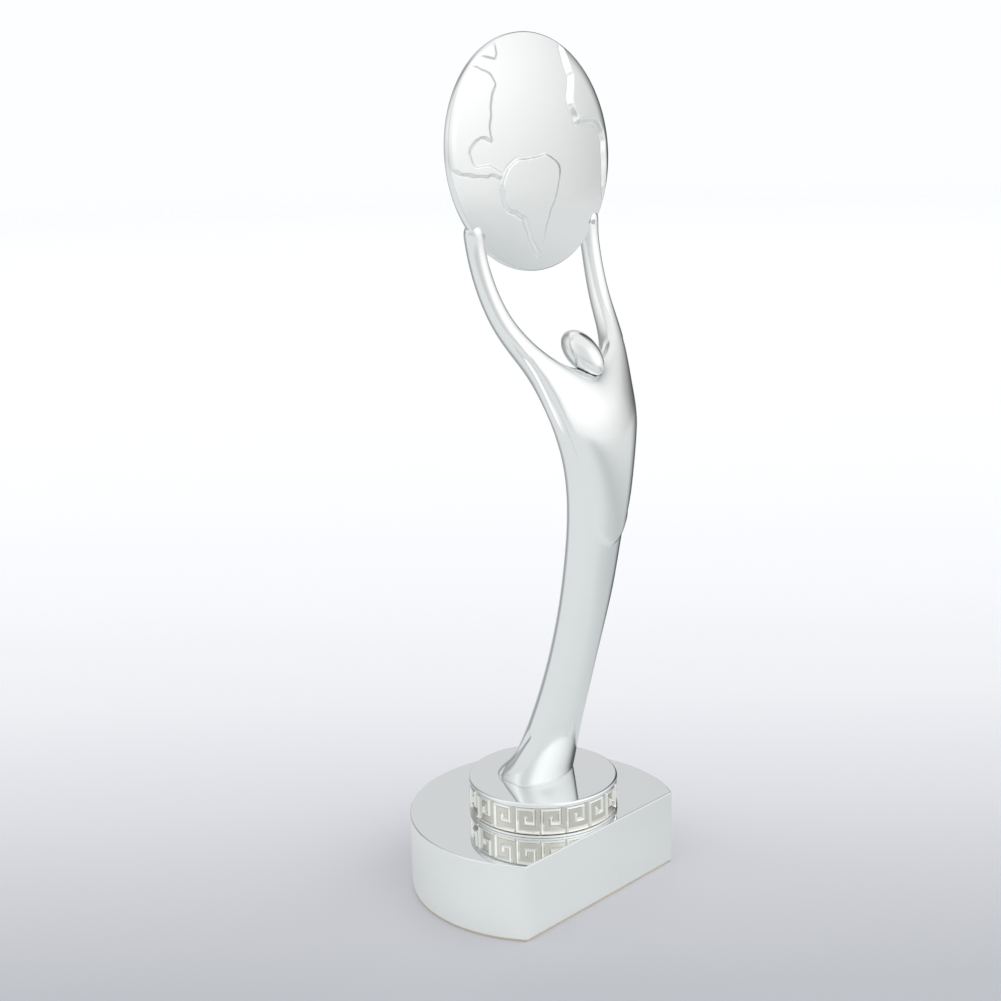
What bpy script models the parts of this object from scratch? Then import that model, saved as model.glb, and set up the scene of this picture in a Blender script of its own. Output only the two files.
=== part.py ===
"""Figure trophy: a slender cast figure lifts a globe disc above its head.

The figure stands on a round collar with a Greek-key band, on a D-shaped base with a flat front.
Metres, +Z up. The base's flat faces -Y, and the origin is under the centre of the base's round part.
"""

import math

import bmesh
import bpy
from mathutils import Matrix, Vector

MM = 0.001
GAP = 0.3 * MM  # left between pieces that touch
OVERRUN = 1 * MM  # how far a cutter runs past the face that it opens

# Base
BASE_RADIUS = 45 * MM
BASE_FLAT_AT = 26 * MM  # from the axis to the flat front
BASE_HEIGHT = 26 * MM
BASE_WALL = 3 * MM
BASE_TOP_THICKNESS = 4 * MM
FELT_THICKNESS = 1 * MM
FELT_INSET = 0.8 * MM
BALLAST_THICKNESS = 9 * MM
EDGE_ROUND = 0.5 * MM

# Collar
COLLAR_RADIUS = 25.0 * MM
COLLAR_HEIGHT = 12 * MM
TOP_PLATE_THICKNESS = 1.6 * MM
FLANGE_THICKNESS = 0.6 * MM
FLANGE_ROUND = 0.2 * MM
FLANGE_LIP = 0.1 * MM  # how far the flange stands out past the band
BAND_SET_BACK = 0.2 * MM  # from the top plate's rim to the band
BAND_DEPTH = 2.6 * MM  # the band's whole thickness, relief included
KEY_RELIEF = 0.9 * MM
KEY_COUNT = 18

# Figure
FIGURE_HEIGHT = 186 * MM  # from the collar to the finger tips
FIGURE_WIDTH = 51 * MM  # between the centres of the two hands
HEAD_LENGTH = 17.8 * MM
HEAD_WIDTH = 9.8 * MM
HEAD_LEAN = math.radians(53)  # back from upright
GRIP_AT = (-0.008, 0.964)  # distance back and height where a hand holds the rim, of the figure's height

# Globe disc
DISC_RADIUS = 35.8 * MM
DISC_RIM = 2.4 * MM
DISC_DOME = 4 * MM
DISC_WALL = 1.8 * MM
DISC_LEAN = math.radians(4.3)
DISC_RIM_ROUND = 0.4 * MM
DISC_SEAT = 2 * MM  # width of the ledge that the back cover rests on
LAND_RELIEF = 0.9 * MM
LAND_MARGIN = 0.7 * MM  # from where the land ends to the disc's edge
COVER_MARGIN = 6.4 * MM  # from the back cover's edge to the disc's
COVER_BULGE = 1.5 * MM
COVER_ROUND = 0.5 * MM
COVER_EDGE = 0.2 * MM  # how far the cover's edge stands proud of the disc's back

# Fastenings
STUD_RADIUS = 3 * MM  # an M6 rod
STUD_IN_FIGURE = 8 * MM
STUD_END = 1 * MM  # thread left showing below the nut
NUT_ACROSS_FLATS = 10 * MM
NUT_HEIGHT = 5 * MM
WASHER_THICKNESS = 1.5 * MM
WASHER_RADIUS = 9 * MM
SPRING_WASHER_RADIUS = 5.5 * MM
SPLIT_WIDTH = 1 * MM
DOWEL_RADIUS = 1.5 * MM
DOWEL_LENGTH = 8 * MM
COLLAR_DOWEL_OFFSET = 8 * MM
FOOT_DOWEL_WALL = 2 * MM  # metal between the foot's back and its dowel hole
DOWEL_FLOOR = 0.5 * MM  # metal left under the collar dowel's hole
PIN_RADIUS = 0.8 * MM
HEAD_PIN_LENGTH = 11 * MM
HAND_PIN_MARGIN = 1.6 * MM  # from the pin's axis to the disc's rim
HAND_PIN_INWARD = 0.4 * MM  # from the hand's middle to the pin's axis
HAND_PIN_BITE = 2 * MM  # how far the pin reaches into the hand behind the rim
HAND_PIN_INLET = 4 * MM  # the open end of its hole

ROUND_STEPS = 48
SMALL_STEPS = 20
PIN_STEPS = 12

# Heights above the table of the surfaces that the pieces stack on
SHELL_BOTTOM = FELT_THICKNESS + GAP
COLLAR_BOTTOM = BASE_HEIGHT + GAP
COLLAR_TOP = BASE_HEIGHT + COLLAR_HEIGHT
FOOT_BOTTOM = COLLAR_TOP + GAP

# Figure sections from the foot up, each in shares of the figure's height or of half its width:
# height, distance behind the base's axis (both of the height),
# half width, depth before and behind the section's centre (of half the width),
# how square the section is, and how far its sides hang below its middle (of the height)
BODY_SECTIONS = [
    (-0.012, 0.003, 0.52, 0.29, 0.57, 0.5, 0.0),
    (0.006, 0.002, 0.53, 0.31, 0.56, 0.45, 0.0),
    (0.022, -0.003, 0.53, 0.31, 0.46, 0.3, 0.0),
    (0.048, -0.010, 0.51, 0.318, 0.31, 0.15, 0.0),
    (0.097, -0.026, 0.455, 0.308, 0.25, 0.1, 0.0),
    (0.172, -0.052, 0.393, 0.305, 0.23, 0.1, 0.0),
    (0.258, -0.078, 0.368, 0.30, 0.22, 0.1, 0.0),
    (0.344, -0.102, 0.388, 0.30, 0.21, 0.2, 0.0),
    (0.419, -0.119, 0.418, 0.305, 0.20, 0.4, 0.0),
    (0.484, -0.132, 0.432, 0.34, 0.20, 0.7, 0.0),
    (0.548, -0.139, 0.464, 0.355, 0.19, 0.9, 0.0),
    (0.613, -0.140, 0.545, 0.35, 0.18, 1.0, 0.005),
    (0.672, -0.135, 0.648, 0.345, 0.17, 1.0, 0.021),
    (0.726, -0.132, 0.725, 0.24, 0.165, 1.0, 0.048),
]
NECK = (0.752, -0.104)  # height and distance back of the hollow between the shoulders
# Arm sections from the shoulder to the hand: distance out (of half the figure's width),
# distance back and height (of its height), half width and half depth (of half the width), roundness
ARM_SECTIONS = [
    (0.667, -0.098, 0.763, 0.169, 0.157, 0.0),
    (0.831, -0.066, 0.804, 0.133, 0.141, 0.1),
    (0.910, -0.040, 0.841, 0.118, 0.137, 0.3),
    (0.969, -0.020, 0.887, 0.114, 0.133, 0.6),
    (1.004, -0.007, 0.933, 0.114, 0.133, 0.9),
    (1.01, -0.002, 0.966, 0.126, 0.138, 1.0),
    (1.03, -0.002, 0.988, 0.138, 0.135, 1.0),
]
FINGER_TIP = (1.02, -0.002, 1.002)
HEAD_AT = (-0.108, 0.777)  # distance back and height of the head's centre, of the figure's height
HEAD_PIN_AT = -0.126  # distance back, of the figure's height

# One period of the Greek key, top row first: 1 is raised
KEY_ROWS = [
    (1, 1, 1, 1, 1, 0),
    (1, 0, 0, 0, 1, 0),
    (1, 0, 1, 0, 1, 0),
    (1, 0, 1, 1, 1, 0),
    (1, 0, 0, 0, 0, 0),
    (1, 1, 1, 1, 1, 1),
]

# Coasts on the disc, seen from its front, in shares of its radius. A coast that runs off the disc
# goes on past the rim and is trimmed there.
LAND_OUTLINES = {
    "north_land": [
        (-1.1, 0.70), (-0.62, 0.72), (-0.48, 0.67), (-0.44, 0.57), (-0.53, 0.44), (-0.57, 0.22),
        (-0.56, 0.10), (-0.64, 0.15), (-0.75, 0.12), (-0.81, 0.04), (-0.78, -0.05), (-0.66, -0.08),
        (-0.60, -0.07), (-0.47, -0.16), (-0.51, -0.20), (-0.65, -0.17), (-0.86, -0.14), (-1.1, -0.08),
    ],
    "north_island": [(-0.66, 0.86), (-0.42, 1.1), (-0.34, 1.05), (-0.37, 0.78)],
    "south_land": [
        (-0.46, -0.19), (-0.40, -0.10), (-0.28, -0.04), (-0.13, -0.05), (-0.01, -0.02), (0.13, -0.06),
        (0.21, -0.14), (0.19, -0.24), (0.11, -0.44), (0.06, -0.54), (0.01, -0.70), (-0.03, -0.87),
        (-0.09, -0.82), (-0.20, -0.62), (-0.24, -0.54), (-0.44, -0.44), (-0.49, -0.30),
    ],
    "east_land": [
        (0.46, 1.1), (0.46, 0.82), (0.50, 0.61), (0.42, 0.40), (0.49, 0.22), (0.79, 0.21),
        (0.85, 0.08), (0.82, -0.20), (0.83, -0.44), (1.1, -0.46), (1.1, 1.0),
    ],
}


# --- Scene, materials and helpers -------------------------------------------------------------

for leftover in list(bpy.data.objects):
    bpy.data.objects.remove(leftover)

TROPHY = bpy.data.collections.new("figure_trophy")
CUTTERS = bpy.data.collections.new("cutters")
bpy.context.scene.collection.children.link(TROPHY)
bpy.context.scene.collection.children.link(CUTTERS)
CUTTERS.hide_render = True


def material(name, colour, metallic, roughness):
    made = bpy.data.materials.new(name)
    made.use_nodes = True
    shader = made.node_tree.nodes["Principled BSDF"]
    shader.inputs["Base Color"].default_value = (*colour, 1)
    shader.inputs["Metallic"].default_value = metallic
    shader.inputs["Roughness"].default_value = roughness
    return made


SATIN_SILVER = material("satin_silver", (0.80, 0.82, 0.81), 1.0, 0.28)
BRIGHT_SILVER = material("bright_silver", (0.86, 0.87, 0.86), 1.0, 0.06)
RAW_IRON = material("raw_iron", (0.16, 0.15, 0.14), 0.9, 0.65)
ZINC_STEEL = material("zinc_plated_steel", (0.62, 0.63, 0.64), 1.0, 0.35)
BEIGE_FELT = material("beige_felt", (0.62, 0.54, 0.42), 0.0, 0.95)


def piece(name, mesh, finish):
    """A named piece of the trophy."""
    made = bpy.data.objects.new(name, mesh)
    made.data.materials.append(finish)
    TROPHY.objects.link(made)
    return made


def cutter(name, mesh):
    """A helper that pieces are cut or joined with, left out of renders."""
    made = bpy.data.objects.new(name, mesh)
    made.hide_render = True
    made.display_type = "WIRE"
    CUTTERS.objects.link(made)
    return made


def shade_smooth(mesh, sharp_from=40):
    mesh.shade_smooth()
    mesh.set_sharp_from_angle(angle=math.radians(sharp_from))


def mesh_from(name, build):
    """A mesh from a function that fills a bmesh, with its normals made to face out."""
    shape = bmesh.new()
    build(shape)
    bmesh.ops.recalc_face_normals(shape, faces=shape.faces)
    mesh = bpy.data.meshes.new(name)
    shape.to_mesh(mesh)
    shape.free()
    return mesh


def profile_mesh(name, profile, closed):
    """A profile of (radius, height) points in the XZ plane, for a Screw modifier to turn."""

    def build(shape):
        points = [shape.verts.new((radius, 0, height)) for radius, height in profile]
        for first, second in zip(points, points[1:]):
            shape.edges.new((first, second))
        if closed:
            shape.edges.new((points[-1], points[0]))

    return mesh_from(name, build)


def turn(made, steps):
    """Turns the object's profile about its own Z axis."""
    screw = made.modifiers.new("turned", "SCREW")
    screw.steps = steps
    screw.render_steps = steps
    screw.use_merge_vertices = True
    screw.merge_threshold = 0.00001
    screw.use_smooth_shade = True
    return made


def turned_piece(name, profile, finish, closed=False, steps=ROUND_STEPS):
    """A round piece. Its profile runs down the outer side, top to bottom, and closes when it is a ring."""
    return turn(piece(name, profile_mesh(name, profile, closed), finish), steps)


def turned_cutter(name, profile, closed=False, steps=ROUND_STEPS):
    return turn(cutter(name, profile_mesh(name, profile, closed)), steps)


def rod_mesh(name, radius, length, steps=SMALL_STEPS):
    """A round rod that stands on the origin along +Z."""

    def build(shape):
        bmesh.ops.create_cone(
            shape,
            cap_ends=True,
            segments=steps,
            radius1=radius,
            radius2=radius,
            depth=length,
            matrix=Matrix.Translation((0, 0, length / 2)),
        )

    mesh = mesh_from(name, build)
    shade_smooth(mesh)
    return mesh


def slab_mesh(name, outline, bottom, top):
    """A flat outline made into a slab between two heights."""

    def build(shape):
        face = shape.faces.new([shape.verts.new((x, y, bottom)) for x, y in outline])
        risen = bmesh.ops.extrude_face_region(shape, geom=[face])
        top_points = [item for item in risen["geom"] if isinstance(item, bmesh.types.BMVert)]
        bmesh.ops.translate(shape, verts=top_points, vec=(0, 0, top - bottom))

    return mesh_from(name, build)


def combine(target, tool, operation="DIFFERENCE"):
    """Cuts the tool from the target, joins it on, or keeps only what they share."""
    modifier = target.modifiers.new(tool.name, "BOOLEAN")
    modifier.operation = operation
    modifier.solver = "EXACT"
    modifier.object = tool


def bevel(target, width, segments=2):
    modifier = target.modifiers.new("edges", "BEVEL")
    modifier.width = width
    modifier.segments = segments
    modifier.limit_method = "ANGLE"
    modifier.angle_limit = math.radians(50)  # leaves the facets of the round walls alone


# --- Base: cast shell, ballast and felt -------------------------------------------------------


def base_outline(inset):
    """A circle cut off by the flat front, all drawn in by the inset."""
    radius = BASE_RADIUS - inset
    flat_at = BASE_FLAT_AT - inset
    corner = math.acos(flat_at / radius)
    span = 2 * (math.pi - corner)
    steps = ROUND_STEPS
    angles = [-math.pi / 2 + corner + span * step / steps for step in range(steps + 1)]
    return [(radius * math.cos(angle), radius * math.sin(angle)) for angle in angles]


base_shell = piece(
    "base_shell",
    slab_mesh("base_shell", base_outline(0), SHELL_BOTTOM, BASE_HEIGHT),
    SATIN_SILVER,
)
bevel(base_shell, EDGE_ROUND)
pocket_top = BASE_HEIGHT - BASE_TOP_THICKNESS
pocket = cutter("base_pocket", slab_mesh("base_pocket", base_outline(BASE_WALL), -BASE_WALL, pocket_top))
combine(base_shell, pocket)

ballast_top = pocket_top - GAP
ballast_bottom = ballast_top - BALLAST_THICKNESS
ballast_plate = piece(
    "ballast_plate",
    slab_mesh("ballast_plate", base_outline(BASE_WALL + 2 * GAP), ballast_bottom, ballast_top),
    RAW_IRON,
)

felt_pad = piece(
    "felt_pad",
    slab_mesh("felt_pad", base_outline(FELT_INSET), 0, FELT_THICKNESS),
    BEIGE_FELT,
)


# --- Collar: drum, Greek-key band and top plate -----------------------------------------------

BAND_OUTER = COLLAR_RADIUS - BAND_SET_BACK
BAND_INNER = BAND_OUTER - BAND_DEPTH
PLATE_BOTTOM = COLLAR_TOP - TOP_PLATE_THICKNESS
BAND_BOTTOM = COLLAR_BOTTOM + FLANGE_THICKNESS + GAP
BAND_TOP = PLATE_BOTTOM - GAP
BORE_RADIUS = STUD_RADIUS + GAP

drum_radius = BAND_INNER - GAP
flange_radius = BAND_OUTER + FLANGE_LIP
flange_top = COLLAR_BOTTOM + FLANGE_THICKNESS
collar_drum = turned_piece(
    "collar_drum",
    [
        (drum_radius, BAND_TOP),
        (drum_radius, flange_top),
        (flange_radius - FLANGE_ROUND, flange_top),
        (flange_radius, flange_top - FLANGE_ROUND),
        (flange_radius, COLLAR_BOTTOM + FLANGE_ROUND),
        (flange_radius - FLANGE_ROUND, COLLAR_BOTTOM),
        (BORE_RADIUS, COLLAR_BOTTOM),
        (BORE_RADIUS, BAND_TOP),
    ],
    SATIN_SILVER,
    closed=True,
)

plate_round = TOP_PLATE_THICKNESS / 2
rim_arc = [math.radians(90 - 36 * step) for step in range(6)]
collar_top_plate = turned_piece(
    "collar_top_plate",
    [
        (
            COLLAR_RADIUS - plate_round + plate_round * math.cos(angle),
            PLATE_BOTTOM + plate_round + plate_round * math.sin(angle),
        )
        for angle in rim_arc
    ]
    + [(BORE_RADIUS, PLATE_BOTTOM), (BORE_RADIUS, COLLAR_TOP)],
    BRIGHT_SILVER,
    closed=True,
)


def key_band_mesh():
    """A ring whose outer face is a grid of cells, raised where the Greek key runs."""
    period = len(KEY_ROWS[0])
    columns = period * KEY_COUNT
    rows = len(KEY_ROWS)
    low = BAND_OUTER - KEY_RELIEF
    row_height = (BAND_TOP - BAND_BOTTOM) / rows

    def face_radius(column, row):
        return BAND_OUTER if KEY_ROWS[rows - 1 - row][column % period] else low

    def build(shape):
        points = {}

        def point(column, level, radius):
            key = (column % columns, level, radius)
            if key not in points:
                angle = 2 * math.pi * key[0] / columns
                height = BAND_BOTTOM + level * row_height
                where = (radius * math.cos(angle), radius * math.sin(angle), height)
                points[key] = shape.verts.new(where)
            return points[key]

        def panel(*corners):
            shape.faces.new([point(*corner) for corner in corners])

        for column in range(columns):
            after = column + 1
            for row in range(rows):
                top = row + 1
                here = face_radius(column, row)
                beside = face_radius(after, row)
                panel((column, row, here), (after, row, here), (after, top, here), (column, top, here))
                if beside != here:
                    panel((after, row, here), (after, row, beside), (after, top, beside), (after, top, here))
                above = face_radius(column, top) if top < rows else here
                if above != here:
                    panel((column, top, here), (after, top, here), (after, top, above), (column, top, above))
            for level, row in ((0, 0), (rows, rows - 1)):
                radii = sorted({BAND_INNER, low, face_radius(column, row)})
                for near, far in zip(radii, radii[1:]):
                    inner_edge = [(column, level, near), (after, level, near)]
                    panel(*inner_edge, (after, level, far), (column, level, far))
            inside = BAND_INNER
            panel((column, 0, inside), (after, 0, inside), (after, rows, inside), (column, rows, inside))

    return mesh_from("fret_band", build)


fret_band = piece("fret_band", key_band_mesh(), SATIN_SILVER)


# --- Figure: legs, torso and raised arms in one casting ---------------------------------------

HALF_WIDTH = FIGURE_WIDTH / 2

# Half of a unit section, from its front centre round one side to its back centre
ROUND_SECTION = [(math.sin(math.pi * step / 8), -math.cos(math.pi * step / 8)) for step in range(9)]
CHEST_SECTION = [
    (0, -1), (0.42, -0.92), (0.80, -0.66), (0.985, -0.36), (1, 0.05),
    (0.985, 0.62), (0.85, 0.93), (0.45, 1.02), (0, 1.02),
]
# A whole unit section of an arm, from its inner front corner round the outside
ARM_FLAT_SECTION = [
    (-0.85, -0.80), (-0.10, -1), (0.70, -0.90), (0.95, -0.55), (1, 0),
    (0.95, 0.60), (0.70, 0.92), (-0.10, 1), (-0.85, 0.85), (-1, 0),
]
ARM_ROUND_ANGLES = (-54, -10, 28, 62, 90, 118, 152, 190, 234, 270)
ARM_ROUND_SECTION = [
    (math.sin(math.radians(angle)), -math.cos(math.radians(angle))) for angle in ARM_ROUND_ANGLES
]


def mixed(first, second, share):
    return [
        ((1 - share) * ax + share * bx, (1 - share) * ay + share * by)
        for (ax, ay), (bx, by) in zip(first, second)
    ]


def body_ring(height, back, half_width, before, behind, squareness, hang):
    """Sixteen points round the body, the first at the front centre."""
    half = []
    for across, along in mixed(ROUND_SECTION, CHEST_SECTION, squareness):
        depth = before if along < 0 else behind
        half.append(
            Vector((
                HALF_WIDTH * half_width * across,
                FIGURE_HEIGHT * back + HALF_WIDTH * depth * along,
                COLLAR_TOP + FIGURE_HEIGHT * (height - hang * abs(across) ** 1.5),
            ))
        )
    other = [Vector((-point.x, point.y, point.z)) for point in half[7:0:-1]]
    return half + other


def arm_point(out, back, height):
    return Vector((HALF_WIDTH * out, FIGURE_HEIGHT * back, COLLAR_TOP + FIGURE_HEIGHT * height))


def arm_ring(centre, along, half_width, half_depth, roundness):
    """Ten points round the +X arm, square to the way it runs."""
    along = along.normalized()
    depthwise = Vector((0, 1, 0))
    depthwise = (depthwise - depthwise.dot(along) * along).normalized()
    outward = depthwise.cross(along)
    if outward.x < 0:
        outward.negate()
    return [
        centre + HALF_WIDTH * (half_width * across * outward + half_depth * deep * depthwise)
        for across, deep in mixed(ARM_FLAT_SECTION, ARM_ROUND_SECTION, roundness)
    ]


def figure_mesh():
    """The cage that subdivision smooths: body rings that part at the neck into two arms."""

    def build(shape):
        rings = [[shape.verts.new(point) for point in body_ring(*section)] for section in BODY_SECTIONS]
        shape.faces.new(list(reversed(rings[0])))
        for lower, upper in zip(rings, rings[1:]):
            for step in range(16):
                after = (step + 1) % 16
                shape.faces.new((lower[step], lower[after], upper[after], upper[step]))
        shoulders = rings[-1]
        neck = shape.verts.new(arm_point(0, NECK[1], NECK[0]))
        half = [point.co for point in shoulders[:9]]
        path = [sum(half, Vector()) / len(half)]
        path += [arm_point(*section[:3]) for section in ARM_SECTIONS]
        path += [arm_point(*FINGER_TIP)]
        for side in (1, -1):
            outside = shoulders[:9] if side == 1 else [shoulders[-step] for step in range(9)]
            ring = outside + [neck]
            for step, section in enumerate(ARM_SECTIONS, start=1):
                points = arm_ring(path[step], path[step + 1] - path[step - 1], *section[3:])
                upper = [shape.verts.new((side * point.x, point.y, point.z)) for point in points]
                for corner in range(10):
                    after = (corner + 1) % 10
                    shape.faces.new((ring[corner], ring[after], upper[after], upper[corner]))
                ring = upper
            tip = shape.verts.new((side * path[-1].x, path[-1].y, path[-1].z))
            for corner in range(10):
                shape.faces.new((ring[corner], ring[(corner + 1) % 10], tip))

    return mesh_from("figure_body", build)


figure_body = piece("figure_body", figure_mesh(), SATIN_SILVER)
smoothing = figure_body.modifiers.new("smooth", "SUBSURF")
smoothing.levels = 1
smoothing.render_levels = 1
shade_smooth(figure_body.data)

foot_trim = cutter(
    "foot_trim",
    slab_mesh("foot_trim", [(-0.5, -0.5), (0.5, -0.5), (0.5, 0.5), (-0.5, 0.5)], 0, FOOT_BOTTOM),
)
combine(figure_body, foot_trim)


# --- Head -------------------------------------------------------------------------------------


def head_profile(grow):
    """Half an egg, slightly fuller towards the crown, from its top down to its bottom."""
    steps = 14
    profile = []
    for step in range(steps + 1):
        height = math.cos(math.pi * step / steps)
        fullness = 1 + 0.08 * height
        radius = (HEAD_WIDTH / 2 + grow) * fullness * math.sin(math.pi * step / steps)
        profile.append((abs(radius) if 0 < step < steps else 0, (HEAD_LENGTH / 2 + grow) * height))
    return profile


head_centre = arm_point(0, HEAD_AT[0], HEAD_AT[1])
head = turned_piece("head", head_profile(0), SATIN_SILVER, steps=24)
head_socket = turned_cutter("head_socket", head_profile(GAP), steps=24)
for egg in (head, head_socket):
    egg.location = head_centre
    egg.rotation_euler = (-HEAD_LEAN, 0, 0)
combine(figure_body, head_socket)

pin_back = FIGURE_HEIGHT * HEAD_PIN_AT
pin_bottom = head_centre.z - HEAD_PIN_LENGTH
head_pin = piece("head_pin", rod_mesh("head_pin", PIN_RADIUS, HEAD_PIN_LENGTH, PIN_STEPS), ZINC_STEEL)
head_pin.location = (0, pin_back, pin_bottom)
pin_drilling = rod_mesh("head_pin_hole", PIN_RADIUS + GAP, HEAD_PIN_LENGTH + 2 * GAP, PIN_STEPS)
head_pin_hole = cutter("head_pin_hole", pin_drilling)
head_pin_hole.location = (0, pin_back, pin_bottom - GAP)
combine(figure_body, head_pin_hole)
combine(head, head_pin_hole)


# --- Globe disc: front casting with the land in relief, and its back cover --------------------

# The rim crosses each hand's middle this far below the disc's centre, measured on the disc
GRIP_DROP = math.sqrt(DISC_RADIUS**2 - HALF_WIDTH**2)
grip = arm_point(0, *GRIP_AT)
DISC_CENTRE = grip + GRIP_DROP * Vector((0, math.sin(DISC_LEAN), math.cos(DISC_LEAN)))
DISC_TURN = (math.pi / 2 - DISC_LEAN, 0, 0)  # local +Z is the disc's face, local +Y its top
COVER_RADIUS = DISC_RADIUS - COVER_MARGIN


def dome_height(radius, rise, across):
    """Height of a shallow dome of the given rise at this radius, above its own rim."""
    ball = (across**2 + rise**2) / (2 * rise)
    return math.sqrt(ball**2 - radius**2) - (ball - rise)


def dome_profile(across, rise, level, steps=7):
    """From the dome's middle out to its rim."""
    radii = [across * step / steps for step in range(steps + 1)]
    return [(radius, level + dome_height(radius, rise, across)) for radius in radii]


def disc_front_profile():
    face_edge = DISC_RADIUS - DISC_RIM_ROUND
    rim_side = DISC_RIM / 2 - DISC_RIM_ROUND
    hollow = COVER_RADIUS - DISC_SEAT
    face = dome_profile(face_edge, DISC_DOME, DISC_RIM / 2)
    rim = [(DISC_RADIUS, rim_side), (DISC_RADIUS, -rim_side)]
    back = [(face_edge, -DISC_RIM / 2), (COVER_RADIUS + GAP, -DISC_RIM / 2)]
    seat = [(COVER_RADIUS + GAP, 0), (hollow, 0)]
    face_over_hollow = dome_height(hollow, DISC_DOME, face_edge)
    hollow_rise = DISC_DOME - face_over_hollow
    hollow_level = DISC_RIM / 2 + face_over_hollow - DISC_WALL
    inside = dome_profile(hollow, hollow_rise, hollow_level, 5)
    return face + rim + back + seat + list(reversed(inside))


disc_front = turned_piece("disc_front", disc_front_profile(), SATIN_SILVER)

cover_dome = dome_profile(COVER_RADIUS - COVER_ROUND, COVER_BULGE, DISC_RIM / 2 + COVER_EDGE, 5)
disc_back = turned_piece(
    "disc_back",
    [(0, -GAP), (COVER_RADIUS, -GAP), (COVER_RADIUS, -DISC_RIM / 2)]
    + [(radius, -level) for radius, level in reversed(cover_dome)],
    SATIN_SILVER,
)


def land_shell_profile():
    """A dome-shaped layer whose top stands proud of the disc's face and whose bottom lies in its wall."""
    across = DISC_RADIUS - DISC_RIM_ROUND
    edge = DISC_RADIUS - LAND_MARGIN
    steps = 9
    radii = [edge * step / steps for step in range(steps + 1)]
    level = DISC_RIM / 2
    top = [(radius, level + dome_height(radius, DISC_DOME, across) + LAND_RELIEF) for radius in radii]
    bottom = [(radius, level + dome_height(radius, DISC_DOME, across) - DISC_WALL / 2) for radius in radii]
    return top + list(reversed(bottom))


for land_name, outline in LAND_OUTLINES.items():
    scaled = [(DISC_RADIUS * x, DISC_RADIUS * y) for x, y in outline]
    land = turned_cutter(land_name, land_shell_profile())
    prism = cutter(land_name + "_outline", slab_mesh(land_name, scaled, -DISC_RIM, DISC_DOME * 3))
    combine(land, prism, "INTERSECT")
    combine(disc_front, land, "UNION")
    for made in (land, prism):
        made.location = DISC_CENTRE
        made.rotation_euler = DISC_TURN

for shell in (disc_front, disc_back):
    shell.location = DISC_CENTRE
    shell.rotation_euler = DISC_TURN

# The hands are slotted over the rim
hand_slot = turned_cutter(
    "hand_slot",
    dome_profile(DISC_RADIUS + GAP, DISC_DOME, DISC_RIM / 2 + GAP)
    + [(DISC_RADIUS + GAP, -DISC_RIM / 2 - GAP), (0, -DISC_RIM / 2 - GAP)],
)
hand_slot.location = DISC_CENTRE
hand_slot.rotation_euler = DISC_TURN
combine(figure_body, hand_slot)


# --- Fastenings -------------------------------------------------------------------------------


def hole(name, radius, centre, bottom, top, targets, steps=SMALL_STEPS):
    """A round upright hole through the targets."""
    made = cutter(name, rod_mesh(name, radius, top - bottom, steps))
    made.location = (centre[0], centre[1], bottom)
    for target in targets:
        combine(target, made)
    return made


stack_top = ballast_bottom - GAP
spring_top = stack_top - WASHER_THICKNESS - GAP
nut_top = spring_top - WASHER_THICKNESS - GAP
stud_bottom = nut_top - NUT_HEIGHT - STUD_END
stud_top = FOOT_BOTTOM + STUD_IN_FIGURE
stud_at = (0, 0)

stud_mesh = rod_mesh("mounting_stud", STUD_RADIUS, stud_top - stud_bottom)
mounting_stud = piece("mounting_stud", stud_mesh, ZINC_STEEL)
mounting_stud.location = (*stud_at, stud_bottom)
hole("stud_hole_figure", BORE_RADIUS, stud_at, FOOT_BOTTOM - GAP, stud_top + GAP, [figure_body])
hole(
    "stud_hole_base",
    BORE_RADIUS,
    stud_at,
    ballast_bottom - OVERRUN,
    BASE_HEIGHT + OVERRUN,
    [base_shell, ballast_plate],
)


def washer(name, outer, top):
    bottom = top - WASHER_THICKNESS
    profile = [(outer, top), (outer, bottom), (BORE_RADIUS, bottom), (BORE_RADIUS, top)]
    return turned_piece(name, profile, ZINC_STEEL, closed=True, steps=32)


clamp_washer = washer("clamp_washer", WASHER_RADIUS, stack_top)
spring_washer = washer("spring_washer", SPRING_WASHER_RADIUS, spring_top)

split = cutter(
    "washer_split",
    slab_mesh(
        "washer_split",
        [(0, -SPLIT_WIDTH / 2), (2 * WASHER_RADIUS, -SPLIT_WIDTH / 2)]
        + [(2 * WASHER_RADIUS, SPLIT_WIDTH / 2), (0, SPLIT_WIDTH / 2)],
        nut_top,
        stack_top,
    ),
)
combine(spring_washer, split)

nut_corner = NUT_ACROSS_FLATS / 2 / math.cos(math.pi / 6)
hex_nut = piece("hex_nut", rod_mesh("hex_nut", nut_corner, NUT_HEIGHT, steps=6), ZINC_STEEL)
hex_nut.location = (*stud_at, nut_top - NUT_HEIGHT)
hole("nut_thread", BORE_RADIUS, stud_at, nut_top - NUT_HEIGHT - OVERRUN, nut_top + OVERRUN, [hex_nut])

# Two dowels keep the figure and the collar from turning on the base
_, foot_back, _, _, foot_behind, _, _ = BODY_SECTIONS[1]
foot_reach = FIGURE_HEIGHT * foot_back + HALF_WIDTH * foot_behind
foot_dowel_at = (0, foot_reach - FOOT_DOWEL_WALL - DOWEL_RADIUS - GAP)
foot_dowel_bottom = FOOT_BOTTOM - TOP_PLATE_THICKNESS - DOWEL_LENGTH / 2
collar_dowel_at = (0, -COLLAR_DOWEL_OFFSET)
collar_dowel_bottom = pocket_top + DOWEL_FLOOR + GAP
foot_dowel = piece("foot_dowel", rod_mesh("foot_dowel", DOWEL_RADIUS, DOWEL_LENGTH), ZINC_STEEL)
foot_dowel.location = (*foot_dowel_at, foot_dowel_bottom)
collar_dowel = piece("collar_dowel", rod_mesh("collar_dowel", DOWEL_RADIUS, DOWEL_LENGTH), ZINC_STEEL)
collar_dowel.location = (*collar_dowel_at, collar_dowel_bottom)
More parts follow.
